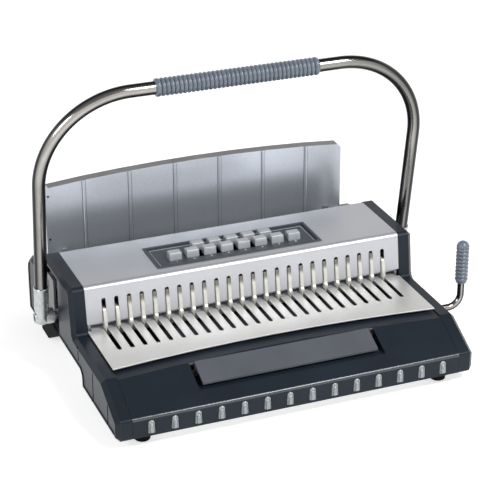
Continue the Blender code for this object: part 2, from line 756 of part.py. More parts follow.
# Cover and table
def make_top_cover(machine):
    flange_bottom = COVER_TOP - COVER_FLANGE
    corners = [(COVER_REAR_Y, flange_bottom), (COVER_REAR_Y, COVER_TOP),
               (face_y(COVER_TOP), COVER_TOP), (face_y(FACE_BOTTOM), FACE_BOTTOM)]
    path = round_path(corners, [0, FLANGE_BEND, COVER_BEND, 0], closed=False, steps=5)
    outline = sheet_outline(path, SHEET_STEEL)
    cover = machine.add("top_cover", prism("x", outline, -COVER_HALF_WIDTH, COVER_HALF_WIDTH), "silver")
    half = FACE_SLOT_WIDTH / 2
    slots = []
    for place in range(COMB_PLACES):
        x = comb_x(place)
        shape = ([(x - half, FACE_BOTTOM - OVERRUN), (x + half, FACE_BOTTOM - OVERRUN)]
                 + arc((x, FACE_SLOT_TOP - half), half, 0, math.pi, 6))
        slots.append(prism("y", shape, face_y(FACE_BOTTOM) - OVERRUN,
                           face_y(FACE_SLOT_TOP) + SHEET_STEEL + OVERRUN))
    machine.cut(cover, together(slots))
    opening = box((-TRAY_HALF_WIDTH - GAP, TRAY_HALF_WIDTH + GAP),
                  (TRAY_FRONT_Y - GAP, TRAY_BACK_Y + GAP), (COVER_TOP - SHEET_STEEL - OVERRUN,
                                                            COVER_TOP + OVERRUN))
    machine.cut(cover, opening)


def make_work_table(machine):
    half_width = COVER_HALF_WIDTH
    front = []
    for step in range(BOW_STEPS + 1):
        x = half_width * (2 * step / BOW_STEPS - 1)
        front.append((x, TABLE_FRONT_Y + bow(x, TABLE_BOW)))
    rear = FACE_FOOT_Y - GAP
    outline = front + [(half_width, rear), (-half_width, rear)]
    table = machine.add("work_table", prism("z", outline, TABLE_BOTTOM, TABLE_TOP), "brushed")
    half = TABLE_SLOT_WIDTH / 2
    slots = []
    for place in range(COMB_PLACES):
        x = comb_x(place)
        shape = ([(x + half, rear + OVERRUN), (x - half, rear + OVERRUN)]
                 + arc((x, TABLE_SLOT_FRONT_Y + half), half, math.pi, 2 * math.pi, 6))
        slots.append(prism("z", shape, TABLE_BOTTOM - OVERRUN, TABLE_TOP + OVERRUN))
    machine.cut(table, together(slots))


# Frame and punch
def frame_outline():
    """Side view of a frame plate, kept clear of the cover, the table and the rear cover."""
    under_table = TABLE_BOTTOM - GAP
    shoulder = COVER_TOP - COVER_BEND
    inside = SHEET_STEEL + GAP
    front = face_y(FACE_BOTTOM) + inside + FIT
    top = COVER_TOP - inside
    return [(FRAME_FRONT_Y, FRAME_BOTTOM), (FRAME_REAR_Y, FRAME_BOTTOM), (FRAME_REAR_Y, top),
            (face_y(COVER_TOP) + COVER_BEND + inside, top), (face_y(shoulder) + inside + FIT, shoulder),
            (front, FACE_BOTTOM), (front, under_table), (FRAME_FRONT_Y, under_table)]


def make_frame_plate(machine, name, sign):
    plate = machine.add(f"frame_plate_{name}",
                        on_side(sign, prism("x", frame_outline(), FRAME_INNER_X, FRAME_OUTER_X)), "plated")
    xs = (FRAME_INNER_X - OVERRUN, FRAME_OUTER_X + OVERRUN)
    shaft = cylinder((xs[0], PIVOT_Y, PIVOT_Z), (xs[1], PIVOT_Y, PIVOT_Z), BUSH_RADIUS + GAP)
    reach = BAR_STUB_RADIUS + GAP
    travel = ECCENTRIC_THROW * 2
    stub_slot = box(xs, (BAR_STUB_Y - reach, BAR_STUB_Y + reach),
                    (BAR_MIDDLE - BAR_STUB_RADIUS - travel + OVERRUN / 2, BAR_MIDDLE + reach))
    rake_slot = box(xs, (RAKE_FRONT_Y - RAKE_TRAVEL - GAP, RAKE_BACK_Y + FIT),
                    (HOOK_ARM_BOTTOM - GAP, HOOK_TOP + GAP))
    holes = [shaft, stub_slot, rake_slot]
    if sign > 0:
        holes.append(cylinder((xs[0], LEVER_Y, LEVER_Z), (xs[1], LEVER_Y, LEVER_Z),
                              LEVER_ROD_RADIUS + GAP))
    machine.cut(plate, on_side(sign, together(holes)))


def pin_cells(clearance):
    """The places of the 24 punch pins, midway between the comb places."""
    for place in range(COMB_PLACES):
        x = comb_x(place) + COMB_PITCH / 2
        yield ((x - PIN_LENGTH_X / 2 - clearance, x + PIN_LENGTH_X / 2 + clearance),
               (PIN_Y - PIN_LENGTH_Y / 2 - clearance, PIN_Y + PIN_LENGTH_Y / 2 + clearance))


def make_punch_block(machine, name, ys, zs, material_name):
    block = machine.add(name, box((-BLOCK_HALF_WIDTH, BLOCK_HALF_WIDTH), ys, zs), material_name)
    holes = [box(xs, hole_ys, (zs[0] - OVERRUN, zs[1] + OVERRUN)) for xs, hole_ys in pin_cells(FIT)]
    machine.cut(block, together(holes))


def make_press_bar(machine):
    bar = machine.add("pressure_bar", box((-BLOCK_HALF_WIDTH, BLOCK_HALF_WIDTH), (BAR_FRONT_Y, BAR_BACK_Y),
                                          (BAR_BOTTOM, BAR_TOP)), "plated", body="press")
    stub = cylinder((-LINK_OUTER_X, BAR_STUB_Y, BAR_MIDDLE), (LINK_OUTER_X, BAR_STUB_Y, BAR_MIDDLE),
                    BAR_STUB_RADIUS, FINE_SIDES)
    machine.join(bar, stub)
    carrier_top = BAR_BOTTOM - GAP
    carrier_bottom = carrier_top - PIN_CARRIER
    carrier = box((-BLOCK_HALF_WIDTH, BLOCK_HALF_WIDTH), (PIN_Y - PIN_CARRIER, PIN_Y + PIN_CARRIER),
                  (carrier_bottom, carrier_top))
    pins = machine.add("punch_pins", carrier, "hook", body="press")
    machine.join(pins, together([box(xs, ys, (GUIDE_BOTTOM + FIT, carrier_bottom + PIN_CARRIER / 2))
                                 for xs, ys in pin_cells(0)]))


def make_press_links(machine):
    """Each link pulls one end of the bar. Its ring runs loose on the eccentric."""
    bore = ECCENTRIC_RADIUS + LINK_RING_CLEARANCE
    ring = bore + LINK_RING_WALL
    centre = (ECCENTRIC_Y, ECCENTRIC_Z)
    eye = (BAR_STUB_Y, BAR_MIDDLE)
    for name, sign in sides():
        link = machine.add(f"press_link_{name}", on_side(sign, prism("x", circle(centre, ring), LINK_INNER_X,
                                                                     LINK_OUTER_X)), "plated", body="press_links")
        arm = capsule(centre, eye, LINK_HALF_WIDTH, LINK_EYE_RADIUS)
        machine.join(link, on_side(sign, prism("x", arm, LINK_INNER_X, LINK_OUTER_X)))
        xs = (LINK_INNER_X - OVERRUN, LINK_OUTER_X + OVERRUN)
        holes = [prism("x", circle(centre, bore), xs[0], xs[1]),
                 prism("x", circle(eye, BAR_STUB_RADIUS + GAP, FINE_SIDES), xs[0], xs[1])]
        machine.cut(link, on_side(sign, together(holes)))


# Handle
def handle_point(x, height):
    """A point of the U, which leans forward, from its place across and its height along the leg."""
    return Vector((x, PIVOT_Y - height * math.sin(HANDLE_LEAN), PIVOT_Z + height * math.cos(HANDLE_LEAN)))


def handle_path():
    """Centre line of the bent tube, from the left socket over the top to the right one."""
    start = SOCKET_START + GAP
    splay = math.atan(HANDLE_SPLAY)
    centre_height = HANDLE_RADIUS - HANDLE_BEND
    centre_x = HANDLE_HALF_WIDTH + HANDLE_SPLAY * centre_height - HANDLE_BEND / math.cos(splay)
    right = [(HANDLE_HALF_WIDTH + HANDLE_SPLAY * start, start)]
    right += arc((centre_x, centre_height), HANDLE_BEND, -splay, math.pi / 2, BEND_STEPS)
    left = [(-x, height) for x, height in right]
    return [handle_point(x, height) for x, height in left + right[::-1]]


def ribbed(start, end, valley, crest, ribs, sides=FINE_SIDES):
    """A sleeve whose radius rises and falls once for each rib."""
    first, last = Vector(start), Vector(end)
    count = 2 * ribs
    path = [first.lerp(last, i / count) for i in range(count + 1)]
    return rod(path, [crest if i % 2 else valley for i in range(count + 1)], sides)


def make_handle(machine):
    path = handle_path()
    machine.add("handle_tube", rod(path, [TUBE_RADIUS] * len(path)), "chrome", body="handle", smooth=True)
    ends = [handle_point(sign * HANDLE_GRIP_HALF, HANDLE_RADIUS) for _, sign in sides()]
    grip = machine.add("handle_grip", ribbed(ends[0], ends[1], HANDLE_GRIP_VALLEY, HANDLE_GRIP_RADIUS,
                                             HANDLE_GRIP_RIBS), "grip", body="handle", smooth=True)
    reach = Vector((OVERRUN, 0, 0))
    machine.cut(grip, cylinder(ends[0] - reach, ends[1] + reach, TUBE_RADIUS + GAP))
    for name, sign in sides():
        make_socket(machine, name, sign)


def make_socket(machine, name, sign):
    """A cast socket: a cup for the tube, a round foot and a boss that holds the shaft."""
    def leg(height):
        point = handle_point(HANDLE_HALF_WIDTH + HANDLE_SPLAY * height, height)
        return Vector((sign * point.x, point.y, point.z))

    pivot = Vector((sign * HANDLE_HALF_WIDTH, PIVOT_Y, PIVOT_Z))
    socket = machine.add(f"handle_socket_{name}", ball(pivot, BALL_RADIUS), "cast", body="handle", smooth=True)
    machine.join(socket, cylinder(leg(0), leg(SOCKET_HEIGHT), SOCKET_RADIUS))
    inner = Vector((sign * BOSS_INNER_X, PIVOT_Y, PIVOT_Z))
    machine.join(socket, cylinder(inner, pivot, BOSS_RADIUS))
    machine.cut(socket, cylinder(leg(SOCKET_START), leg(SOCKET_HEIGHT + OVERRUN), TUBE_RADIUS + GAP))
    bore_end = Vector((sign * (SHAFT_END_X + GAP), PIVOT_Y, PIVOT_Z))
    bore_start = Vector((sign * (BOSS_INNER_X - OVERRUN), PIVOT_Y, PIVOT_Z))
    machine.cut(socket, cylinder(bore_start, bore_end, SHAFT_RADIUS + GAP))
    outer = HANDLE_HALF_WIDTH + BALL_RADIUS
    machine.cut(socket, cylinder((sign * (outer - BOLT_SINK), PIVOT_Y, PIVOT_Z),
                                 (sign * (outer + OVERRUN), PIVOT_Y, PIVOT_Z), BOLT_RADIUS + GAP))
    bolt = cylinder((sign * (outer - BOLT_SINK + GAP), PIVOT_Y, PIVOT_Z),
                    (sign * (outer - BOLT_SINK / 2), PIVOT_Y, PIVOT_Z), BOLT_RADIUS, 6)
    machine.add(f"socket_bolt_{name}", bolt, "plated", body="handle")


def make_drive_shaft(machine):
    shaft = machine.add("drive_shaft", cylinder((-SHAFT_END_X, PIVOT_Y, PIVOT_Z), (SHAFT_END_X, PIVOT_Y, PIVOT_Z),
                                                SHAFT_RADIUS), "plated", body="handle", smooth=True)
    for _, sign in sides():
        machine.join(shaft, cylinder((sign * (LINK_INNER_X + GAP), ECCENTRIC_Y, ECCENTRIC_Z),
                                     (sign * (LINK_OUTER_X - GAP), ECCENTRIC_Y, ECCENTRIC_Z), ECCENTRIC_RADIUS))


def make_shaft_bushes(machine):
    for name, sign in sides():
        xs = (sign * (FRAME_INNER_X - BUSH_END), sign * (FRAME_OUTER_X + BUSH_END))
        bush = machine.add(f"shaft_bush_{name}", cylinder((xs[0], PIVOT_Y, PIVOT_Z), (xs[1], PIVOT_Y, PIVOT_Z),
                                                          BUSH_RADIUS), "hook", smooth=True)
        machine.cut(bush, cylinder((xs[0] - sign * OVERRUN, PIVOT_Y, PIVOT_Z),
                                   (xs[1] + sign * OVERRUN, PIVOT_Y, PIVOT_Z), SHAFT_RADIUS + GAP))


def make_return_spring(machine):
    """The torsion spring that lifts the handle, wound round the shaft."""
    radius = (SHAFT_RADIUS + FIT + SPRING_WIRE / 2) / math.cos(math.pi / SPRING_POINTS_PER_TURN)
    points = SPRING_TURNS * SPRING_POINTS_PER_TURN
    start_x = -SPRING_PITCH * SPRING_TURNS / 2
    path = []
    for i in range(points + 1):
        angle = 2 * math.pi * i / SPRING_POINTS_PER_TURN
        path.append((start_x + SPRING_PITCH * i / SPRING_POINTS_PER_TURN,
                     PIVOT_Y + radius * math.cos(angle), PIVOT_Z + radius * math.sin(angle)))
    machine.add("return_spring", rod(path, [SPRING_WIRE / 2] * len(path), 6), "plated", smooth=True)


def make_bearing_plates(machine):
    outline = [(PLATE_FRONT_Y, PLATE_BOTTOM + PLATE_CUT), (PLATE_FRONT_Y + PLATE_CUT, PLATE_BOTTOM),
               (PLATE_BACK_Y, PLATE_BOTTOM), (PLATE_BACK_Y, PLATE_TOP - PLATE_CUT),
               (PLATE_BACK_Y - 2 * PLATE_CUT, PLATE_TOP), (PLATE_FRONT_Y, PLATE_TOP)]
    xs = (CAP_CAVITY_X - GAP - PLATE_THICKNESS, CAP_CAVITY_X - GAP)
    slot_y = (PLATE_FRONT_Y + PLATE_BACK_Y) / 2
    for name, sign in sides():
        plate = machine.add(f"bearing_plate_{name}", on_side(sign, prism("x", outline, xs[0], xs[1])), "plated")
        slot = box((xs[0] - OVERRUN, xs[1] + OVERRUN), (slot_y - PLATE_THICKNESS / 2, slot_y + PLATE_THICKNESS / 2),
                   (PLATE_TOP - 2 * PLATE_CUT, PLATE_TOP - PLATE_CUT))
        machine.cut(plate, on_side(sign, slot))


# Comb opener
def hook_outline(plain):
    """Side view of a comb hook and its arm, from the back round to the top."""
    rear = RAKE_FRONT_Y + RAKE_DEPTH / 4
    corner = HOOK_SLIT
    points = [(rear, HOOK_TOP), (rear, HOOK_ARM_BOTTOM), (HOOK_BACK_Y, HOOK_ARM_BOTTOM),
              (HOOK_BACK_Y, HOOK_BOTTOM), (HOOK_FRONT_Y + corner, HOOK_BOTTOM),
              (HOOK_FRONT_Y, HOOK_BOTTOM + 2 * corner)]
    if plain:
        points.append((HOOK_FRONT_Y + corner, HOOK_ARM_BOTTOM))
    else:
        mouth = (HOOK_BOTTOM + HOOK_ARM_BOTTOM) / 2
        slit_end = HOOK_ARM_BOTTOM + corner
        points += [(HOOK_FRONT_Y, mouth), (HOOK_BACK_Y, slit_end), (HOOK_BACK_Y, slit_end + corner),
                   (HOOK_FRONT_Y + corner, mouth + 2 * corner)]
    points.append((HOOK_NECK_Y, HOOK_TOP - 2 * corner))
    if plain:
        points.append((HOOK_NECK_Y + 2 * corner, HOOK_TOP))
    else:
        tip_y = face_y(HOOK_TIP)
        points += [(tip_y, HOOK_TIP), (tip_y + HOOK_TIP_DEPTH, HOOK_TIP - 2 * corner),
                   (tip_y + HOOK_TIP_DEPTH, HOOK_TOP)]
    return points


def make_hook_rake(machine):
    bar = box((-FRAME_OUTER_X, FRAME_OUTER_X), (RAKE_FRONT_Y, RAKE_BACK_Y), (HOOK_ARM_BOTTOM, HOOK_TOP))
    rake = machine.add("hook_rake", bar, "hook", body="rake")
    arms = []
    stems = []
    stem_ys = (HOOK_FRONT_Y + HOOK_SLIT, HOOK_FRONT_Y + HOOK_SLIT + STEM_DEPTH)
    for place in range(COMB_PLACES):
        x = comb_x(place)
        arms.append(prism("x", hook_outline(place in PLAIN_PLACES), x - HOOK_WIDTH / 2, x + HOOK_WIDTH / 2))
        stems.append(box((x - STEM_WIDTH / 2, x + STEM_WIDTH / 2), stem_ys,
                         (STEM_BOTTOM, HOOK_BOTTOM + HOOK_SLIT)))
    machine.join(rake, together(arms))
    machine.join(rake, together(stems))


def make_opener_link(machine):
    """A flat bar on the rake with a fork at its front, in which the lever's crank pin runs."""
    reach = CRANK_PIN_RADIUS + FORK_CLEARANCE
    low = OPENER_BAR_BOTTOM
    fork_top = LEVER_Z + CRANK_RADIUS + CRANK_PIN_RADIUS
    bar_top = low + OPENER_BAR_HEIGHT
    fork_floor = CRANK_PIN_Z - CRANK_PIN_RADIUS - GAP
    back = RAKE_BACK_Y + OPENER_BAR_HEIGHT
    outline = [(CRANK_PIN_Y - reach - FORK_WALL, low), (back, low), (back, HOOK_TOP),
               (RAKE_FRONT_Y, HOOK_TOP), (RAKE_FRONT_Y, bar_top),
               (CRANK_PIN_Y + reach + FORK_WALL, bar_top), (CRANK_PIN_Y + reach + FORK_WALL, fork_top),
               (CRANK_PIN_Y + reach, fork_top), (CRANK_PIN_Y + reach, fork_floor),
               (CRANK_PIN_Y - reach, fork_floor), (CRANK_PIN_Y - reach, fork_top),
               (CRANK_PIN_Y - reach - FORK_WALL, fork_top)]
    machine.add("opener_link", prism("x", outline, OPENER_LINK_X, OPENER_LINK_X + OPENER_LINK_THICKNESS),
                "plated", body="rake")


def make_lever(machine):
    elbow = arc((LEVER_X - LEVER_BEND, LEVER_Z + LEVER_BEND), LEVER_BEND, -math.pi / 2, 0, 6)
    path = [(FRAME_INNER_X, LEVER_Y, LEVER_Z)] + [(x, LEVER_Y, z) for x, z in elbow]
    path.append((LEVER_X, LEVER_Y, LEVER_TOP))
    rod_solid = rod(path, [LEVER_ROD_RADIUS] * len(path), FINE_SIDES)
    lever = machine.add("lever_rod", rod_solid, "chrome", body="lever", smooth=True)
    crank = capsule((LEVER_Y, LEVER_Z), (CRANK_PIN_Y, CRANK_PIN_Z), CRANK_HUB_RADIUS, CRANK_END_RADIUS)
    machine.join(lever, prism("x", crank, CRANK_X, CRANK_X + CRANK_THICKNESS))
    machine.join(lever, cylinder((OPENER_LINK_X, CRANK_PIN_Y, CRANK_PIN_Z),
                                 (CRANK_X + CRANK_THICKNESS / 2, CRANK_PIN_Y, CRANK_PIN_Z), CRANK_PIN_RADIUS, 8))
    sleeve_top = LEVER_GRIP_TOP - LEVER_GRIP_RADIUS
    grip = machine.add("lever_grip", ribbed((LEVER_X, LEVER_Y, LEVER_GRIP_BOTTOM), (LEVER_X, LEVER_Y, sleeve_top),
                                            LEVER_GRIP_VALLEY, LEVER_GRIP_RADIUS, LEVER_GRIP_RIBS),
                       "grip", body="lever", smooth=True)
    machine.join(grip, ball((LEVER_X, LEVER_Y, sleeve_top), LEVER_GRIP_RADIUS))
    machine.cut(grip, cylinder((LEVER_X, LEVER_Y, LEVER_GRIP_BOTTOM - OVERRUN),
                               (LEVER_X, LEVER_Y, LEVER_TOP + GAP), LEVER_ROD_RADIUS + GAP, FINE_SIDES))


# Chip drawer
def make_chip_drawer(machine):
    outer = rectangle(DRAWER_HALF_WIDTH, DRAWER_FRONT_Y, DRAWER_BACK_Y)
    inner = rectangle(DRAWER_HALF_WIDTH - DRAWER_WALL, DRAWER_FRONT_Y + DRAWER_WALL, DRAWER_BACK_Y - DRAWER_WALL)
    tray = loft([along("z", outer, DRAWER_BOTTOM), along("z", outer, DRAWER_TOP),
                 along("z", inner, DRAWER_TOP), along("z", inner, DRAWER_BOTTOM + DRAWER_WALL)])
    machine.add("chip_drawer", tray, "slate", body="drawer")

    slope = (LIP_HEIGHT - CREASE_HEIGHT) / (LIP_FRONT_Y + LIP_BOW * (1 - (DRAWER_HALF_WIDTH / COVER_HALF_WIDTH)))

    def top_line(y):
        return CREASE_HEIGHT + slope * y + PULL_RISE

    web_back = DRAWER_FRONT_Y - GAP
    web_bottom = DRAWER_TOP - PULL_THICKNESS
    web_start = (web_bottom + PULL_THICKNESS - CREASE_HEIGHT - PULL_RISE) / slope
    outline = [(PULL_FRONT_Y, top_line(PULL_FRONT_Y)), (PULL_BACK_Y, top_line(PULL_BACK_Y)),
               (PULL_BACK_Y, DRAWER_TOP), (web_back, DRAWER_TOP), (web_back, web_bottom),
               (web_start, web_bottom), (PULL_FRONT_Y, top_line(PULL_FRONT_Y) - PULL_THICKNESS)]
    pull = machine.add("drawer_pull", prism("x", outline, -PULL_HALF_WIDTH, PULL_HALF_WIDTH), "slate",
                       body="drawer")
    middle = top_line(PULL_STUD_Y) - PULL_THICKNESS / 2
    underside = top_line(PULL_STUD_Y - PULL_STUD_RADIUS) - PULL_THICKNESS
    studs = [cylinder((sign * PULL_STUD_X, PULL_STUD_Y, underside - PULL_STUD_HEIGHT),
                      (sign * PULL_STUD_X, PULL_STUD_Y, middle), PULL_STUD_RADIUS, FINE_SIDES)
             for _, sign in sides()]
    machine.join(pull, together(studs))


def make_drawer_runners(machine):
    """A folded channel that carries the drawer on a shelf along each side."""
    floor_top = FRAME_BOTTOM + RUNNER_THICKNESS
    shelf_top = DRAWER_BOTTOM - GAP
    shelf_bottom = shelf_top - RUNNER_THICKNESS
    lip_x = DRAWER_HALF_WIDTH + FIT
    lip_outer = lip_x + RUNNER_THICKNESS
    lip_top = shelf_top + RUNNER_LIP_HEIGHT
    shelf_inner = lip_x - RUNNER_SHELF
    web_x = shelf_inner + RUNNER_SHELF / 2
    half = [(web_x + RUNNER_THICKNESS, FRAME_BOTTOM), (web_x + RUNNER_THICKNESS, shelf_bottom),
            (lip_outer, shelf_bottom), (lip_outer, lip_top), (lip_x, lip_top), (lip_x, shelf_top),
            (shelf_inner, shelf_top), (shelf_inner, shelf_bottom), (web_x, shelf_bottom), (web_x, floor_top)]
    outline = half + [(-x, z) for x, z in reversed(half)]
    machine.add("drawer_runners", prism("y", outline, RUNNER_FRONT_Y, RUNNER_BACK_Y), "plated")


# Pin selectors
def button_place(row, index):
    count, middle, y = BUTTON_ROWS[row]
    return middle + (index - (count - 1) / 2) * BUTTON_PITCH, y


def make_selector_tray(machine):
    """A dished plate that hangs in the cover by its rim, with a hole for each button."""
    def ring(grow):
        return rectangle(TRAY_HALF_WIDTH + grow, TRAY_FRONT_Y - grow, TRAY_BACK_Y + grow)

    rim_bottom = COVER_TOP + GAP
    rim_top = rim_bottom + TRAY_RIM_HEIGHT
    floor_top = COVER_TOP - TRAY_DEPTH
    loops = [(ring(0), floor_top - TRAY_FLOOR), (ring(0), rim_bottom), (ring(TRAY_RIM), rim_bottom),
             (ring(TRAY_RIM), rim_top), (ring(-TRAY_WALL), rim_top), (ring(-TRAY_WALL), floor_top)]
    tray = machine.add("selector_tray", loft([along("z", outline, z) for outline, z in loops]), "charcoal")
    holes = []
    for row, (count, _, _) in enumerate(BUTTON_ROWS):
        for index in range(count):
            x, y = button_place(row, index)
            holes.append(box((x - BUTTON_WIDTH / 2 - FIT, x + BUTTON_WIDTH / 2 + FIT),
                             (y - BUTTON_DEPTH / 2 - FIT, y + BUTTON_DEPTH / 2 + FIT),
                             (floor_top - TRAY_FLOOR - OVERRUN, floor_top + OVERRUN / 2)))
    machine.cut(tray, together(holes))


def make_buttons(machine):
    for row, (count, _, _) in enumerate(BUTTON_ROWS):
        for index in range(count):
            x, y = button_place(row, index)
            name = f"selector_{'front' if row == 0 else 'rear'}_{index + 1}"
            top = COVER_TOP + BUTTON_RISE
            bottom = COVER_TOP - TRAY_DEPTH - BUTTON_STEM
            machine.body(name, (x, y, bottom), "machine")

            def ring(inset, lean):
                half_x = BUTTON_WIDTH / 2 - inset
                half_y = BUTTON_DEPTH / 2 - inset
                return [(x - half_x, y - half_y + lean), (x + half_x, y - half_y + lean),
                        (x + half_x, y + half_y), (x - half_x, y + half_y)]

            loops = [along("z", ring(0, 0), bottom), along("z", ring(0, 0), COVER_TOP - TRAY_DEPTH),
                     along("z", ring(0, BUTTON_SLOPE), top - BUTTON_EDGE),
                     along("z", ring(BUTTON_EDGE, BUTTON_SLOPE), top)]
            machine.add(f"button_{name[9:]}", loft(loops), "button", body=name)


# Rear lid
def lid_outline(inset):
    half = LID_HALF_WIDTH - inset
    crown = []
    for step in range(BOW_STEPS + 1):
        x = half * (1 - 2 * step / BOW_STEPS)
        crown.append((x, LID_SHOULDER - inset + LID_CROWN * (1 - (x / LID_HALF_WIDTH) ** 2)))
    corner = LID_CORNER
    crown[0] = (half, crown[0][1] - corner)
    crown[-1] = (-half, crown[-1][1] - corner)
    crown.insert(1, (half - corner, crown[0][1] + corner))
    crown.insert(-1, (-half + corner, crown[-1][1] + corner))
    return [(-half, LID_BOTTOM + inset), (half, LID_BOTTOM + inset)] + crown


def make_rear_lid(machine):
    back_y = LID_FRONT_Y + LID_THICKNESS
    shell = loft([along("y", lid_outline(0), LID_FRONT_Y), along("y", lid_outline(0), back_y),
                  along("y", lid_outline(LID_WALL), back_y),
                  along("y", lid_outline(LID_WALL), LID_FRONT_Y + LID_WALL)])
    lid = machine.add("rear_lid", shell, "lid", body="lid")
    ribs = []
    for i in range(LID_RIBS):
        x = (i - (LID_RIBS - 1) / 2) * LID_RIB_PITCH
        top = LID_SHOULDER + LID_CROWN * (1 - (x / LID_HALF_WIDTH) ** 2)
        ribs.append(box((x - LID_RIB_WIDTH / 2, x + LID_RIB_WIDTH / 2),
                        (LID_FRONT_Y - LID_RIB_RISE, LID_FRONT_Y + LID_WALL / 2), (LID_BOTTOM, top)))
    machine.join(lid, together(ribs))
    panel = prism("y", lid_outline(LID_WALL + GAP), back_y - LID_BACK_INSET - LID_WALL, back_y - LID_BACK_INSET)
    machine.add("lid_back", panel, "lid", body="lid")


def make_lid_hinges(machine):
    pivot = (LID_PIVOT_Y, LID_PIVOT_Z)
    seat_y = LID_FRONT_Y - GAP
    pin_hole = LID_PIN_RADIUS + GAP
    arm_outline = ([(seat_y, LID_PIVOT_Z - LID_FOOT_HALF_HEIGHT), (seat_y, LID_PIVOT_Z + LID_FOOT_HALF_HEIGHT),
                    (seat_y - LID_FOOT_THICKNESS, LID_PIVOT_Z + LID_FOOT_HALF_HEIGHT),
                    (seat_y - LID_FOOT_THICKNESS, LID_PIVOT_Z + LID_ARM_HALF_HEIGHT)]
                   + arc(pivot, LID_EYE_RADIUS, math.asin(LID_ARM_HALF_HEIGHT / LID_EYE_RADIUS),
                         2 * math.pi - math.asin(LID_ARM_HALF_HEIGHT / LID_EYE_RADIUS), 12)
                   + [(seat_y - LID_FOOT_THICKNESS, LID_PIVOT_Z - LID_ARM_HALF_HEIGHT),
                      (seat_y - LID_FOOT_THICKNESS, LID_PIVOT_Z - LID_FOOT_HALF_HEIGHT)])
    deck = DECK_HEIGHT + GAP
    bracket_outline = ([(LID_PIVOT_Y - LID_EYE_RADIUS, deck), (LID_PIVOT_Y + BRACKET_HALF_FOOT, deck)]
                       + arc(pivot, LID_EYE_RADIUS, 0, math.pi, 8))
    bracket_x = LID_ARM_X + LID_ARM_WIDTH + GAP
    bracket_end = bracket_x + BRACKET_THICKNESS
    brackets, holes = [], []
    for name, sign in sides():
        arm = machine.add(f"lid_arm_{name}", on_side(sign, prism("x", arm_outline, LID_ARM_X,
                                                                 LID_ARM_X + LID_ARM_WIDTH)), "plated", body="lid")
        hole = prism("x", circle(pivot, pin_hole, FINE_SIDES), LID_ARM_X - OVERRUN,
                     LID_ARM_X + LID_ARM_WIDTH + OVERRUN)
        machine.cut(arm, on_side(sign, hole))
        brackets.append(on_side(sign, prism("x", bracket_outline, bracket_x, bracket_end)))
        holes.append(on_side(sign, prism("x", circle(pivot, pin_hole, FINE_SIDES), bracket_x - OVERRUN,
                                         bracket_end + OVERRUN)))
    rail = machine.add("lid_hinge_rail", box((-bracket_end, bracket_end), (
        LID_PIVOT_Y - LID_EYE_RADIUS, LID_PIVOT_Y + BRACKET_HALF_FOOT), (deck, deck + RAIL_THICKNESS)), "plated")
    machine.join(rail, together(brackets))
    machine.cut(rail, together(holes))
    hinge_rod = cylinder((-bracket_end - OVERRUN, LID_PIVOT_Y, LID_PIVOT_Z),
                         (bracket_end + OVERRUN, LID_PIVOT_Y, LID_PIVOT_Z), LID_PIN_RADIUS, FINE_SIDES)
    machine.add("lid_hinge_rod", hinge_rod, "hook", smooth=True)


def remove_everything():
    for obj in list(bpy.data.objects):
        bpy.data.objects.remove(obj, do_unlink=True)


def centre_on_floor(machine):
    """Moves the machine so that the origin is the middle of its box, at floor level."""
    bpy.context.view_layer.update()
    corners = [obj.matrix_world @ Vector(corner) for obj in bpy.data.objects
               if obj.type == "MESH" and not obj.hide_render for corner in obj.bound_box]
    low = Vector([min(corner[axis] for corner in corners) for axis in range(3)])
    high = Vector([max(corner[axis] for corner in corners) for axis in range(3)])
    middle = (low + high) / 2
    machine.bodies["machine"].location = (-middle.x, -middle.y, -low.z)


def build():
    remove_everything()
    machine = Assembly()
    machine.body("machine")
    machine.body("handle", (0, PIVOT_Y, PIVOT_Z), "machine")
    machine.body("press", (0, BAR_STUB_Y, BAR_MIDDLE), "machine")
    machine.body("press_links", (0, BAR_STUB_Y, BAR_MIDDLE), "press")
    machine.body("rake", (0, RAKE_FRONT_Y, HOOK_ARM_BOTTOM), "machine")
    machine.body("lever", (0, LEVER_Y, LEVER_Z), "machine")
    machine.body("drawer", (0, DRAWER_FRONT_Y, DRAWER_BOTTOM), "machine")
    machine.body("lid", (0, LID_PIVOT_Y, LID_PIVOT_Z), "machine")

    make_base_pan(machine)
    make_rear_cover(machine)
    make_fascia(machine)
    make_front_studs(machine)
    for name, sign in sides():
        make_feet(machine, name, sign)
        make_side_cap(machine, name, sign)
        make_frame_plate(machine, name, sign)
    make_top_cover(machine)
    make_work_table(machine)
    make_punch_block(machine, "die_block", (DIE_FRONT_Y, DIE_BACK_Y), (DIE_BOTTOM, DIE_TOP), "plated")
    make_punch_block(machine, "pin_guide", (GUIDE_FRONT_Y, GUIDE_BACK_Y), (GUIDE_BOTTOM, GUIDE_TOP), "plated")
    make_press_bar(machine)
    make_press_links(machine)
    make_handle(machine)
    make_drive_shaft(machine)
    make_shaft_bushes(machine)
    make_return_spring(machine)
    make_bearing_plates(machine)
    make_hook_rake(machine)
    make_opener_link(machine)
    make_lever(machine)
    make_chip_drawer(machine)
    make_drawer_runners(machine)
    make_selector_tray(machine)
    make_buttons(machine)
    make_rear_lid(machine)
    make_lid_hinges(machine)
    centre_on_floor(machine)


build()
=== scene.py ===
# A manual comb punching and binding machine with a U handle, a hinged rear lid and a comb lever.
# Metres, +X to the user's right, +Y to the back, +Z up from the desk.
import json
import math

import bmesh
import bpy
from mathutils import Matrix, Vector

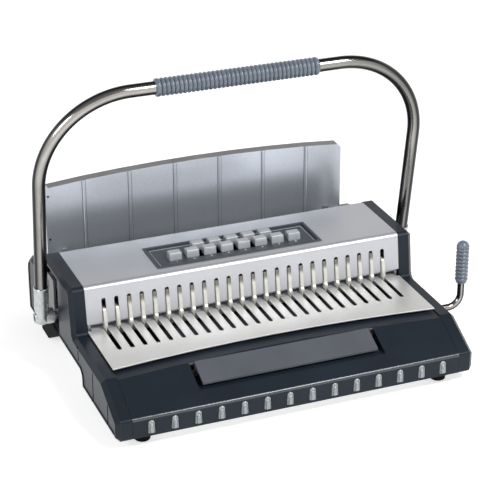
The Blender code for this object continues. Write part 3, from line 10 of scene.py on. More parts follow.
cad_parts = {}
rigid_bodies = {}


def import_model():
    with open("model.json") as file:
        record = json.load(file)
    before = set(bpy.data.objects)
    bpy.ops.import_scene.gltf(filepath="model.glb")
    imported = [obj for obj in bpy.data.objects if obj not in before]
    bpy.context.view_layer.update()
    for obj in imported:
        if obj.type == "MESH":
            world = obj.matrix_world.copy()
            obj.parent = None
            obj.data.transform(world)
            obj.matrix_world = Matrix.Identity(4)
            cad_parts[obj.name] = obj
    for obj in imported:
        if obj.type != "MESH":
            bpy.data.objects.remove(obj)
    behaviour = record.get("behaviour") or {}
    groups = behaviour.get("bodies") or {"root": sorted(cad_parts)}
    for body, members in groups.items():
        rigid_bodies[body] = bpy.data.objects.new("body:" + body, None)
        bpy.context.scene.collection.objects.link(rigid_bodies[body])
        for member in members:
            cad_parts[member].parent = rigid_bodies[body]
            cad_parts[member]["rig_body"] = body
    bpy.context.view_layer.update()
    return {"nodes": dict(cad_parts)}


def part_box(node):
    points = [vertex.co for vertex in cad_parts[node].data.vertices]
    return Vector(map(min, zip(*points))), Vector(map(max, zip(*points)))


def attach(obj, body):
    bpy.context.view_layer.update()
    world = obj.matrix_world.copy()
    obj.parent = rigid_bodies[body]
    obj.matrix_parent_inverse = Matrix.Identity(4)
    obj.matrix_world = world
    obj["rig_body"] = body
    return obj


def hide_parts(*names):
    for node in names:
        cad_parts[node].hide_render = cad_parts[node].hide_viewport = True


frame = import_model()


# Floor pan
# A tray folded from zinc-plated sheet. It closes the machine below and carries the feet and the
# two frame plates. Its edges are rounded off a little by the press brake.
def shading_group(name, inputs, outputs):
    """An empty shader group with its sockets."""
    tree = bpy.data.node_groups.new(name, "ShaderNodeTree")
    for label, kind, value in inputs:
        tree.interface.new_socket(label, in_out="INPUT", socket_type=kind).default_value = value
    for label, kind in outputs:
        tree.interface.new_socket(label, in_out="OUTPUT", socket_type=kind)
    return tree, tree.nodes.new("NodeGroupInput"), tree.nodes.new("NodeGroupOutput")


def map_range(tree, value, low, high, to_low, to_high):
    node = tree.nodes.new("ShaderNodeMapRange")
    tree.links.new(value, node.inputs["Value"])
    for label, number in (("From Min", low), ("From Max", high), ("To Min", to_low), ("To Max", to_high)):
        if isinstance(number, (int, float)):
            node.inputs[label].default_value = number
        else:
            tree.links.new(number, node.inputs[label])
    return node.outputs["Result"]


def noise(tree, vector, scale, detail, stretch=None):
    if stretch is not None:
        mapping = tree.nodes.new("ShaderNodeMapping")
        tree.links.new(vector, mapping.inputs["Vector"])
        tree.links.new(stretch, mapping.inputs["Scale"])
        vector = mapping.outputs["Vector"]
    node = tree.nodes.new("ShaderNodeTexNoise")
    node.inputs["Detail"].default_value = detail
    tree.links.new(vector, node.inputs["Vector"])
    if scale is not None:
        tree.links.new(scale, node.inputs["Scale"])
    return node.outputs["Fac"]


def object_place(tree):
    return tree.nodes.new("ShaderNodeTexCoord").outputs["Object"]


def cloudy_tone():
    """A slow drift between two colours, as in paint, plating and moulded plastic."""
    tree, given, made = shading_group(
        "cloudy_tone",
        [("Deep", "NodeSocketColor", (0.1, 0.1, 0.1, 1)), ("Pale", "NodeSocketColor", (0.2, 0.2, 0.2, 1)),
         ("Patches", "NodeSocketFloat", 30.0)],
        [("Colour", "NodeSocketColor")])
    cloud = noise(tree, object_place(tree), given.outputs["Patches"], 4)
    mix = tree.nodes.new("ShaderNodeMix")
    mix.data_type = "RGBA"
    tree.links.new(map_range(tree, cloud, 0.32, 0.68, 0.0, 1.0), mix.inputs["Factor"])
    tree.links.new(given.outputs["Deep"], mix.inputs["A"])
    tree.links.new(given.outputs["Pale"], mix.inputs["B"])
    tree.links.new(mix.outputs["Result"], made.inputs["Colour"])
    return tree


def fine_grain():
    """Grain that breaks up the gloss and gives the bump its height."""
    tree, given, made = shading_group(
        "fine_grain",
        [("Grain", "NodeSocketFloat", 900.0), ("Smooth", "NodeSocketFloat", 0.3), ("Rough", "NodeSocketFloat", 0.5)],
        [("Roughness", "NodeSocketFloat"), ("Height", "NodeSocketFloat")])
    place = object_place(tree)
    grain = noise(tree, place, given.outputs["Grain"], 3)
    tree.links.new(map_range(tree, grain, 0.3, 0.7, given.outputs["Smooth"], given.outputs["Rough"]),
                   made.inputs["Roughness"])
    tree.links.new(grain, made.inputs["Height"])
    return tree


def brush_lines():
    """Fine parallel lines left by an abrasive belt, long in the direction with the small stretch."""
    tree, given, made = shading_group(
        "brush_lines",
        [("Stretch", "NodeSocketVector", (4.0, 900.0, 900.0)), ("Smooth", "NodeSocketFloat", 0.25),
         ("Rough", "NodeSocketFloat", 0.45)],
        [("Roughness", "NodeSocketFloat"), ("Height", "NodeSocketFloat")])
    lines = noise(tree, object_place(tree), None, 5, stretch=given.outputs["Stretch"])
    tree.links.new(map_range(tree, lines, 0.3, 0.7, given.outputs["Smooth"], given.outputs["Rough"]),
                   made.inputs["Roughness"])
    tree.links.new(lines, made.inputs["Height"])
    return tree


TONE, GRAIN, BRUSH = cloudy_tone(), fine_grain(), brush_lines()


def finish(name, deep, pale, patches, roughness, grain, depth, metal=0.0, coat=0.0, brushed=None):
    """A surface with drifting tone. Grain, or brush lines where they are asked for, give gloss and bump."""
    made = bpy.data.materials.new(name)
    made.use_nodes = True
    nodes, links = made.node_tree.nodes, made.node_tree.links
    shader = nodes["Principled BSDF"]
    shader.inputs["Metallic"].default_value = metal
    shader.inputs["Coat Weight"].default_value = coat
    shader.inputs["Coat Roughness"].default_value = 0.25
    tone = nodes.new("ShaderNodeGroup")
    tone.node_tree = TONE
    tone.inputs["Deep"].default_value = (*deep, 1)
    tone.inputs["Pale"].default_value = (*pale, 1)
    tone.inputs["Patches"].default_value = patches
    links.new(tone.outputs["Colour"], shader.inputs["Base Color"])
    texture = nodes.new("ShaderNodeGroup")
    texture.node_tree = BRUSH if brushed else GRAIN
    if brushed:
        texture.inputs["Stretch"].default_value = brushed
    else:
        texture.inputs["Grain"].default_value = grain
    texture.inputs["Smooth"].default_value, texture.inputs["Rough"].default_value = roughness
    links.new(texture.outputs["Roughness"], shader.inputs["Roughness"])
    bump = nodes.new("ShaderNodeBump")
    bump.inputs["Distance"].default_value = depth
    bump.inputs["Strength"].default_value = 0.6
    links.new(texture.outputs["Height"], bump.inputs["Height"])
    links.new(bump.outputs["Normal"], shader.inputs["Normal"])
    return made


def new_piece(name, bm):
    mesh = bpy.data.meshes.new(name)
    bm.to_mesh(mesh)
    bm.free()
    piece = bpy.data.objects.new(name, mesh)
    bpy.context.scene.collection.objects.link(piece)
    return piece


def plain(piece):
    """The piece with its live modifiers turned into plain mesh."""
    graph = bpy.context.evaluated_depsgraph_get()
    made = bpy.data.meshes.new_from_object(piece.evaluated_get(graph), depsgraph=graph)
    piece.modifiers.clear()
    piece.data = made
    return piece


def fit(piece, material, *nodes):
    """Gives a piece its material and puts it in the place of the solids that it stands for."""
    if not piece.data.materials:
        piece.data.materials.append(material)
    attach(piece, frame["nodes"][nodes[0]]["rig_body"])
    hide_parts(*nodes)
    return piece


def softened(node, radius, material, limit=32, segments=2, smooth=35, first=None, edge=None):
    """A copy of a solid whose sharp edges are rounded off, as its mould, press or file leaves them. A given edge
    material paints a highlight on the rounded faces.
    """
    bm = bmesh.new()
    bm.from_mesh(frame["nodes"][node].data)
    bmesh.ops.remove_doubles(bm, verts=bm.verts, dist=2e-6)
    bmesh.ops.dissolve_limit(bm, angle_limit=math.radians(0.06), verts=bm.verts, edges=bm.edges)
    if first:
        first(bm)
    piece = new_piece(f"{node}_finished", bm)
    for coat in [material] + ([edge] if edge else []):
        piece.data.materials.append(coat)
    bevel = piece.modifiers.new("rounded_edges", "BEVEL")
    bevel.width = radius
    bevel.segments = segments
    bevel.limit_method = "ANGLE"
    bevel.angle_limit = math.radians(limit)
    bevel.miter_outer = "MITER_ARC"
    bevel.material = 1 if edge else -1
    plain(piece)
    piece.data.shade_smooth()
    piece.data.set_sharp_from_angle(angle=math.radians(smooth))
    weigh = piece.modifiers.new("flat_faces", "WEIGHTED_NORMAL")
    weigh.keep_sharp = True
    plain(piece)
    return fit(piece, material, node)


def repaint(node, material):
    """A better surface on a solid that stays as it is."""
    for place in frame["nodes"][node].material_slots:
        place.material = material


zinc_plating = finish("zinc_plating", (0.36, 0.37, 0.38), (0.50, 0.51, 0.51), 60, (0.28, 0.42), 700, 0.00004, metal=0.9)
softened("base_pan", 0.0004, zinc_plating)


# Rear cover
# A bent panel of charcoal moulding that closes the back under the lid and carries its hinge rail.
# Six pan-head screws hold it to the frame.
def generated_tree(name, inputs):
    """An empty geometry tree with its sockets, and its first and last nodes."""
    tree = bpy.data.node_groups.new(name, "GeometryNodeTree")
    tree.interface.new_socket("Geometry", in_out="INPUT", socket_type="NodeSocketGeometry")
    for label, kind in inputs:
        tree.interface.new_socket(label, in_out="INPUT", socket_type=kind)
    tree.interface.new_socket("Geometry", in_out="OUTPUT", socket_type="NodeSocketGeometry")
    return tree, tree.nodes.new("NodeGroupInput"), tree.nodes.new("NodeGroupOutput")


def end_tree(tree, given, made, geometry):
    """Every tree ends as one real mesh with its material set."""
    real = tree.nodes.new("GeometryNodeRealizeInstances")
    coat = tree.nodes.new("GeometryNodeSetMaterial")
    tree.links.new(geometry, real.inputs["Geometry"])
    tree.links.new(real.outputs["Geometry"], coat.inputs["Geometry"])
    tree.links.new(given.outputs["Material"], coat.inputs["Material"])
    tree.links.new(coat.outputs["Geometry"], made.inputs["Geometry"])
    return tree


def set_on_points():
    """One part set on every point of the mesh, turned by an angle about each axis."""
    tree, given, made = generated_tree("set_on_points", [
        ("Part", "NodeSocketObject"), ("Turn", "NodeSocketVector"), ("Material", "NodeSocketMaterial")])
    part = tree.nodes.new("GeometryNodeObjectInfo")
    place = tree.nodes.new("GeometryNodeInstanceOnPoints")
    tree.links.new(given.outputs["Part"], part.inputs["Object"])
    tree.links.new(given.outputs["Geometry"], place.inputs["Points"])
    tree.links.new(part.outputs["Geometry"], place.inputs["Instance"])
    tree.links.new(given.outputs["Turn"], place.inputs["Rotation"])
    return end_tree(tree, given, made, place.outputs["Instances"])


SET_ON_POINTS = set_on_points()


def grow(piece, tree, **values):
    """Runs a geometry tree on a piece and keeps the result as plain mesh."""
    modifier = piece.modifiers.new(tree.name, "NODES")
    modifier.node_group = tree
    for item in tree.interface.items_tree:
        if item.item_type == "SOCKET" and item.in_out == "INPUT" and item.name in values:
            modifier[item.identifier] = values[item.name]
    return plain(piece)


def point_mesh(name, points, chain=False):
    """A mesh of bare points, joined into a line where a tree sweeps along it."""
    mesh = bpy.data.meshes.new(name)
    edges = [(i, i + 1) for i in range(len(points) - 1)] if chain else []
    mesh.from_pydata([tuple(point) for point in points], edges, [])
    piece = bpy.data.objects.new(name, mesh)
    bpy.context.scene.collection.objects.link(piece)
    return piece


def turned(profile, start, way, sides=32):
    """A lathe-turned solid from (radius, distance along the axis) pairs."""
    axis = Vector(way).normalized()
    side = axis.orthogonal().normalized()
    other = axis.cross(side)
    bm = bmesh.new()
    rings = []
    for radius, along in profile:
        centre = Vector(start) + axis * along
        if radius < 1e-6:
            rings.append([bm.verts.new(centre)])
            continue
        rings.append([bm.verts.new(centre + (side * math.cos(2 * math.pi * i / sides)
                                             + other * math.sin(2 * math.pi * i / sides)) * radius)
                      for i in range(sides)])
    for lower, upper in zip(rings, rings[1:]):
        for i in range(sides):
            j = (i + 1) % sides
            corners = [lower[i % len(lower)], lower[j % len(lower)], upper[j % len(upper)], upper[i % len(upper)]]
            bm.faces.new(list(dict.fromkeys(corners)))
    bmesh.ops.recalc_face_normals(bm, faces=bm.faces)
    return bm


def merged(parts):
    """Several closed shells as one mesh."""
    whole = bmesh.new()
    scratch = bpy.data.meshes.new("scratch")
    for part in parts:
        part.to_mesh(scratch)
        part.free()
        whole.from_mesh(scratch)
    bpy.data.meshes.remove(scratch)
    return whole


def smooth(piece, angle=35):
    piece.data.shade_smooth()
    piece.data.set_sharp_from_angle(angle=math.radians(angle))
    return piece


def screw_head(radius, rise):
    """A pan head with a cross recess, on its back on the XY plane."""
    head = turned([(0, 0), (radius, 0), (radius, rise * 0.35), (radius * 0.8, rise * 0.85), (radius * 0.45, rise),
                   (radius * 0.4, rise), (radius * 0.28, rise * 0.35), (0, rise * 0.3)], (0, 0, 0), (0, 0, 1), 24)
    bars = []
    for along in ((0.5, 0.13), (0.13, 0.5)):
        bar = bmesh.new()
        bmesh.ops.create_cube(bar, size=1)
        bmesh.ops.scale(bar, vec=(radius * along[0] * 1.7, radius * along[1] * 1.7, rise * 0.5), verts=bar.verts)
        bmesh.ops.translate(bar, vec=(0, 0, rise * 0.3), verts=bar.verts)
        bars.append(bar)
    return merged([head] + bars)


charcoal_moulding = finish("charcoal_moulding", (0.011, 0.017, 0.025), (0.015, 0.022, 0.032), 18, (0.28, 0.38),
                           1400, 0.00002)
charcoal_moulding.node_tree.nodes["Principled BSDF"].inputs["Specular IOR Level"].default_value = 0.2
# The rounded edges and the crease of the charcoal mouldings: a little glossier, and paler as a painted highlight.
charcoal_gloss_and_painted_highlight = finish("charcoal_gloss_and_painted_highlight", (0.030, 0.038, 0.050), (0.045, 0.054, 0.068), 60, (0.22, 0.32), 1400, 0.00001, coat=0.6)
softened("rear_cover", 0.0005, charcoal_moulding, edge=charcoal_gloss_and_painted_highlight)

dark_screw = finish("blackened_screw", (0.02, 0.02, 0.022), (0.05, 0.05, 0.055), 400, (0.3, 0.45), 1500, 0.00002, metal=0.8)
SCREW_RADIUS = 0.0030
SCREW_RISE = 0.0014
screw = smooth(new_piece("screw_pattern", screw_head(SCREW_RADIUS, SCREW_RISE)))
rear_low, rear_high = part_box("rear_cover")
rear_screws = grow(
    point_mesh("rear_cover_screws", [(x, rear_high.y, z) for x in (-0.165, -0.009, 0.147)
                                     for z in (rear_low.z + 0.008, rear_low.z + 0.036)]),
    SET_ON_POINTS, Part=screw, Turn=(math.radians(-90), 0, 0), Material=dark_screw)
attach(rear_screws, "base")


# Feet
# Four moulded rubber feet: round and tapered at the front, with a screw well below, and wedges
# under the rear corners that hold the machine when the handle is pulled.
foot_rubber = finish("foot_rubber", (0.003, 0.003, 0.0035), (0.006, 0.006, 0.0065), 90, (0.7, 0.85), 900, 0.00008)
foot_rubber.node_tree.nodes["Principled BSDF"].inputs["Specular IOR Level"].default_value = 0.1
for side in ("left", "right"):
    low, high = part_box(f"front_foot_{side}")
    radius = (high.x - low.x) / 2
    middle = (low + high) / 2
    profile = [(0, 0.004), (radius * 0.35, 0.004), (radius * 0.38, 0.0006), (radius * 0.82, 0),
               (radius * 0.88, 0.0006), (radius, high.z - 0.0035), (radius, high.z), (0, high.z)]
    foot = new_piece(f"front_foot_{side}_rubber", turned(profile, (middle.x, middle.y, 0), (0, 0, 1), 40))
    fit(smooth(foot), foot_rubber, f"front_foot_{side}")
    softened(f"rear_foot_{side}", 0.0012, foot_rubber, segments=3)


# Frame and punch
# Two plates of zinc-plated steel stand on the pan. The die block, the pin guide, the pressure bar
# with its punches, and the pull links work between and beside them, inside the cover.
ground_steel = finish("ground_steel", (0.42, 0.42, 0.42), (0.56, 0.56, 0.55), 80, (0.22, 0.38), 500, 0.00003,
                      metal=0.95, brushed=(6.0, 700.0, 700.0))
for node in ("frame_plate_left", "frame_plate_right", "pressure_bar", "press_link_left", "press_link_right",
             "drawer_runners", "opener_link"):
    repaint(node, zinc_plating)
for node in ("punch_pins", "shaft_bush_left", "shaft_bush_right", "drive_shaft"):
    repaint(node, ground_steel)
die_satin = finish("die_satin", (0.44, 0.45, 0.48), (0.52, 0.53, 0.56), 60, (0.45, 0.6), 0, 0.00002, metal=0.15,
                   brushed=(8.0, 500.0, 500.0))
for node in ("die_block", "pin_guide"):
    repaint(node, die_satin)


# Return spring
# Spring steel wire wound seven times round the drive shaft. It lifts the handle again.
def swept_bar():
    """A round bar along a line of points."""
    tree, given, made = generated_tree("swept_bar", [
        ("Radius", "NodeSocketFloat"), ("Sides", "NodeSocketInt"), ("Material", "NodeSocketMaterial")])
    line = tree.nodes.new("GeometryNodeMeshToCurve")
    ring = tree.nodes.new("GeometryNodeCurvePrimitiveCircle")
    sweep = tree.nodes.new("GeometryNodeCurveToMesh")
    sweep.inputs["Fill Caps"].default_value = True
    tree.links.new(given.outputs["Geometry"], line.inputs["Mesh"])
    tree.links.new(given.outputs["Sides"], ring.inputs["Resolution"])
    tree.links.new(given.outputs["Radius"], ring.inputs["Radius"])
    tree.links.new(line.outputs["Curve"], sweep.inputs["Curve"])
    tree.links.new(ring.outputs["Curve"], sweep.inputs["Profile Curve"])
    return end_tree(tree, given, made, sweep.outputs["Mesh"])


SWEPT_BAR = swept_bar()
SPRING_TURNS = 7
SPRING_WIRE = 0.0008
spring_low, spring_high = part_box("return_spring")
spring_middle = (spring_low + spring_high) / 2
spring_coil = (spring_high.z - spring_low.z) / 2 - SPRING_WIRE * 1.15
spring_steps = SPRING_TURNS * 24
spring_start = spring_low.x + SPRING_WIRE
spring_reach = spring_high.x - SPRING_WIRE - spring_start
spring_line = [(spring_start + spring_reach * i / spring_steps,
                spring_middle.y + spring_coil * math.cos(2 * math.pi * i / 24),
                spring_middle.z + spring_coil * math.sin(2 * math.pi * i / 24)) for i in range(spring_steps + 1)]
spring = grow(point_mesh("return_spring_wire", spring_line, chain=True), SWEPT_BAR,
              Radius=SPRING_WIRE, Sides=12, Material=ground_steel)
fit(smooth(spring), ground_steel, "return_spring")


# Front fascia
# One charcoal moulding: a flat band in front, a slope above it with the pocket for the drawer's
# pull, and a bowed lip along the work table.
CREASE_RADIUS = 0.0026


def round_crease(bm):
    """The long edge between the front band and the slope has a wide radius, and its faces take the second material with
    its painted highlight.
    """
    crease = [edge for edge in bm.edges if len(edge.link_faces) == 2
              and min(face.normal.y for face in edge.link_faces) < -0.99
              and max(face.normal.z for face in edge.link_faces) > 0.5
              and min(face.normal.z for face in edge.link_faces) > -0.1
              and max(face.normal.y for face in edge.link_faces) < 0]
    bmesh.ops.bevel(bm, geom=crease, offset=CREASE_RADIUS, segments=5, affect="EDGES", profile=0.5,
                    clamp_overlap=True, material=1)


softened("fascia", 0.0006, charcoal_moulding, limit=22, segments=2, smooth=30, first=round_crease, edge=charcoal_gloss_and_painted_highlight)


# Front studs
# Fourteen small bullets of grey plastic. They are moulded on one strip behind the fascia and stand
# out through its front band, each with a raised nose inside its rim.
STUD_COUNT = 14
STUD_HALF_WIDTH = 0.0037
STUD_RIDGE = 0.0022


def stud_shape(back, front):
    """A bullet that narrows upwards, with a rim, a shallow groove and a raised nose, on its own middle plane."""
    low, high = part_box("front_studs")
    foot, crown = low.z, high.z
    shoulder = crown - STUD_HALF_WIDTH * 0.8
    side = [(-STUD_HALF_WIDTH, foot), (STUD_HALF_WIDTH, foot)]
    side += [(STUD_HALF_WIDTH * 0.86 * math.cos(math.pi * i / 16),
              shoulder + STUD_HALF_WIDTH * 0.8 * math.sin(math.pi * i / 16)) for i in range(17)]
    bm = bmesh.new()
    rings = []
    for y, shrink in ((back, 1.0), (front + STUD_RIDGE, 1.0), (front + STUD_RIDGE * 0.6, 0.9),
                      (front + STUD_RIDGE * 0.6, 0.74), (front + STUD_RIDGE * 0.85, 0.66), (front, 0.46), (front, 0.2)):
        rings.append([bm.verts.new((x * shrink, y, foot + 0.0004 + (z - foot) * (0.35 + 0.65 * shrink)
                                    + (1 - shrink) * 0.0012)) for x, z in side])
    for lower, upper in zip(rings, rings[1:]):
        for i in range(len(side)):
            j = (i + 1) % len(side)
            bm.faces.new((lower[i], lower[j], upper[j], upper[i]))
    bm.faces.new(rings[0])
    bm.faces.new(rings[-1][::-1])
    bmesh.ops.recalc_face_normals(bm, faces=bm.faces)
    return bm


stud_plastic = finish("stud_plastic", (0.25, 0.29, 0.30), (0.40, 0.44, 0.45), 700, (0.2, 0.32), 1600, 0.00006, coat=0.3)
strip_low, strip_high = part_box("front_studs")
strip_middle = (strip_low.x + strip_high.x) / 2
stud_reach = (strip_high.x - strip_low.x) / 2 - STUD_HALF_WIDTH
stud_pitch = 2 * stud_reach / (STUD_COUNT - 1)
stud = smooth(new_piece("stud_pattern", stud_shape(strip_high.y - 0.0004, strip_low.y)), 24)
studs = grow(point_mesh("front_studs_row", [(strip_middle - stud_reach + stud_pitch * i, 0, 0)
                                            for i in range(STUD_COUNT)]),
             SET_ON_POINTS, Part=stud, Turn=(0, 0, 0), Material=stud_plastic)
bpy.data.objects.remove(stud)
fit(studs, stud_plastic, "front_studs")


# Side caps
# A deep charcoal moulding closes each end of the machine. It has a window round the handle's
# socket, three narrow grooves, and a hole for the lever on the right.
for side in ("left", "right"):
    softened(f"side_cap_{side}", 0.0009, charcoal_moulding, limit=34, segments=3, smooth=38, edge=charcoal_gloss_and_painted_highlight)


# Bearing plates
# Pressed plates that show in the windows of the caps, beside the handle's sockets.
bright_plate = finish("bright_plate", (0.16, 0.165, 0.17), (0.22, 0.225, 0.23), 70, (0.35, 0.5), 600, 0.00003, metal=0.35)
for side in ("left", "right"):
    softened(f"bearing_plate_{side}", 0.0003, bright_plate)


# Top cover
# Sheet steel with silver enamel, bent over at the front and back, with 24 slots for the hooks in
# its leaning face and an opening for the selector panel.
silver_enamel = finish("silver_enamel", (0.53, 0.54, 0.57), (0.57, 0.58, 0.61), 14, (0.35, 0.38), 2600, 0.000001,
                       metal=0.65, coat=0.3)
softened("top_cover", 0.0004, silver_enamel, limit=40, smooth=40)


# Work table
# A plate of satin steel with 24 slots, on which the sheets and the comb lie. Its front edge is
# bowed and it is brushed from side to side.
satin_table = finish("satin_table", (0.66, 0.655, 0.635), (0.74, 0.735, 0.71), 22, (0.28, 0.42), 0, 0.00002, metal=0.45,
                     brushed=(10.0, 600.0, 600.0))
# The rounded edges of the table: paler than the plate, as a painted highlight.
table_painted_highlight = finish("table_painted_highlight", (0.82, 0.82, 0.80), (0.88, 0.88, 0.86), 40, (0.30, 0.36), 900, 0.000002, metal=0.2)
softened("work_table", 0.00035, satin_table, limit=40, edge=table_painted_highlight)


# Comb hooks
# Plated steel blades on one bar. They hold the rings of the comb while the rake draws them open.
# Their upper ends are painted darker, as painted shade where they stand back inside the slots.
HOOK_PAINTED_SHADE_START = 0.0845
HOOK_PAINTED_SHADE_END = 0.0885


def painted_darkening(material, factor, colour):
    """Lays a darker colour over a finish where the factor is one: painted shade on the hooks, a painted reflection on
    the tube.
    """
    tree = material.node_tree
    shader = tree.nodes["Principled BSDF"]
    painted_dark = tree.nodes.new("ShaderNodeMix")
    painted_dark.data_type = "RGBA"
    painted_dark.inputs["B"].default_value = (*colour, 1)
    tree.links.new(factor, painted_dark.inputs["Factor"])
    tree.links.new(shader.inputs["Base Color"].links[0].from_socket, painted_dark.inputs["A"])
    tree.links.new(painted_dark.outputs["Result"], shader.inputs["Base Color"])


hook_plating_with_painted_shade = finish("hook_plating_with_painted_shade", (0.66, 0.65, 0.59), (0.76, 0.745, 0.69), 120, (0.34, 0.5), 800, 0.00003, metal=0.3)
hook_tree = hook_plating_with_painted_shade.node_tree
# Painted shade: the blades turn dark olive grey towards their tops, where the slots shade them.
hook_height = hook_tree.nodes.new("ShaderNodeSeparateXYZ")
hook_tree.links.new(object_place(hook_tree), hook_height.inputs["Vector"])
painted_darkening(hook_plating_with_painted_shade, map_range(hook_tree, hook_height.outputs["Z"], HOOK_PAINTED_SHADE_START, HOOK_PAINTED_SHADE_END, 0.0, 1.0),
       (0.20, 0.19, 0.16))
softened("hook_rake", 0.0002, hook_plating_with_painted_shade, limit=40)


# Handle tube
# Polished stainless tube bent to a U. It leans forward and stands in a cast socket at each end.
HANDLE_MIDDLE = -0.009068
PIVOT = Vector((0, 0.05325, 0.053))
HANDLE_RADIUS = 0.264
HANDLE_LEAN = math.radians(8.05)
HANDLE_HALF_WIDTH = 0.2165
HANDLE_SPLAY = 0.0091
HANDLE_BEND = 0.099
TUBE_RADIUS = 0.0071
TUBE_START = 0.0133


def handle_point(x, height):
    """A point of the leaning U, from its place across and its height along the leg."""
    return Vector((HANDLE_MIDDLE + x, PIVOT.y - height * math.sin(HANDLE_LEAN),
                   PIVOT.z + height * math.cos(HANDLE_LEAN)))


splay = math.atan(HANDLE_SPLAY)
bend_height = HANDLE_RADIUS - HANDLE_BEND
bend_x = HANDLE_HALF_WIDTH + HANDLE_SPLAY * bend_height - HANDLE_BEND / math.cos(splay)
right_leg = [(HANDLE_HALF_WIDTH + HANDLE_SPLAY * height, height)
             for height in (TUBE_START + (bend_height - TUBE_START) * i / 12 for i in range(12))]
right_leg += [(bend_x + HANDLE_BEND * math.cos(turn), bend_height + HANDLE_BEND * math.sin(turn))
              for turn in (-splay + (math.pi / 2 + splay) * i / 40 for i in range(41))]
left_leg = [(-x, height) for x, height in right_leg]
handle_line = [handle_point(x, height) for x, height in left_leg + right_leg[::-1]]
polished_tube = finish("polished_tube", (0.44, 0.425, 0.40), (0.52, 0.505, 0.48), 40, (0.14, 0.17), 500, 0.0000005,
                       metal=1.0)
# Painted reflection: the base colour turns near black towards the tube's grazing edges, as dark surroundings would show
# there.
painted_reflection_weight = polished_tube.node_tree.nodes.new("ShaderNodeLayerWeight")
painted_reflection_weight.inputs["Blend"].default_value = 0.5
painted_darkening(polished_tube, map_range(polished_tube.node_tree, painted_reflection_weight.outputs["Facing"], 0.05, 0.32, 0.0, 1.0),
       (0.035, 0.035, 0.037))
tube = grow(point_mesh("handle_tube_bent", handle_line, chain=True), SWEPT_BAR, Radius=TUBE_RADIUS, Sides=64,
            Material=polished_tube)
fit(smooth(tube), polished_tube, "handle_tube")


# Handle grip
# A soft blue-grey sleeve pushed over the middle of the handle. It has 36 round ribs and a plain
# collar at each end.
def ribbed_sleeve():
    """A sleeve along a line whose radius swells once for each rib."""
    tree, given, made = generated_tree("ribbed_sleeve", [
        ("Ribs", "NodeSocketInt"), ("Valley", "NodeSocketFloat"), ("Crest", "NodeSocketFloat"),
        ("Rings", "NodeSocketInt"), ("Sides", "NodeSocketInt"), ("Material", "NodeSocketMaterial")])

    def calculate(operation, first, second=None):
        node = tree.nodes.new("ShaderNodeMath")
        node.operation = operation
        for i, value in enumerate(entry for entry in (first, second) if entry is not None):
            if isinstance(value, (int, float)):
                node.inputs[i].default_value = value
            else:
                tree.links.new(value, node.inputs[i])
        return node.outputs["Value"]

    line = tree.nodes.new("GeometryNodeMeshToCurve")
    count = tree.nodes.new("GeometryNodeResampleCurve")
    along = tree.nodes.new("GeometryNodeSplineParameter")
    ring = tree.nodes.new("GeometryNodeCurvePrimitiveCircle")
    sweep = tree.nodes.new("GeometryNodeCurveToMesh")
    sweep.inputs["Fill Caps"].default_value = True
    tree.links.new(given.outputs["Geometry"], line.inputs["Mesh"])
    tree.links.new(line.outputs["Curve"], count.inputs["Curve"])
    tree.links.new(given.outputs["Rings"], count.inputs["Count"])
    turn = calculate("MULTIPLY", calculate("MULTIPLY", along.outputs["Factor"], given.outputs["Ribs"]), math.pi)
    swell = calculate("POWER", calculate("ABSOLUTE", calculate("SINE", turn)), 0.6)
    rise = calculate("MULTIPLY", calculate("SUBTRACT", given.outputs["Crest"], given.outputs["Valley"]), swell)
    radius = calculate("ADD", given.outputs["Valley"], rise)
    ring.inputs["Radius"].default_value = 1.0
    tree.links.new(given.outputs["Sides"], ring.inputs["Resolution"])
    if "Scale" in sweep.inputs:
        tree.links.new(count.outputs["Curve"], sweep.inputs["Curve"])
        tree.links.new(radius, sweep.inputs["Scale"])
    else:
        widen = tree.nodes.new("GeometryNodeSetCurveRadius")
        tree.links.new(count.outputs["Curve"], widen.inputs["Curve"])
        tree.links.new(radius, widen.inputs["Radius"])
        tree.links.new(widen.outputs["Curve"], sweep.inputs["Curve"])
    tree.links.new(ring.outputs["Curve"], sweep.inputs["Profile Curve"])
    return end_tree(tree, given, made, sweep.outputs["Mesh"])


RIBBED_SLEEVE = ribbed_sleeve()
GRIP_HALF = 0.0925
GRIP_COLLAR = 0.006
GRIP_CREST = 0.00985
GRIP_VALLEY = 0.0078
grip_rubber = finish("grip_rubber", (0.125, 0.150, 0.190), (0.150, 0.178, 0.220), 60, (0.22, 0.34), 1100, 0.00002, coat=0.4)
ribs_end = GRIP_HALF - GRIP_COLLAR
grip_ribs = grow(point_mesh("grip_ribs", [handle_point(-ribs_end, HANDLE_RADIUS), handle_point(ribs_end, HANDLE_RADIUS)],
                            chain=True),
                 RIBBED_SLEEVE, Ribs=36, Valley=GRIP_VALLEY, Crest=GRIP_CREST, Rings=36 * 8 + 1, Sides=48,
                 Material=grip_rubber)
shells = [bmesh.new()]
shells[0].from_mesh(grip_ribs.data)
for sign in (-1, 1):
    collar = [(0, 0), (GRIP_VALLEY, 0), (GRIP_CREST * 0.97, 0.0012), (GRIP_CREST, 0.003), (GRIP_CREST * 0.96, 0.005),
              (TUBE_RADIUS + 0.0008, GRIP_COLLAR), (0, GRIP_COLLAR)]
    shells.append(turned(collar, handle_point(sign * ribs_end, HANDLE_RADIUS), (sign, 0, 0), 48))
bpy.data.objects.remove(grip_ribs)
grip = new_piece("handle_grip_sleeve", merged(shells))
fit(smooth(grip, 50), grip_rubber, "handle_grip")


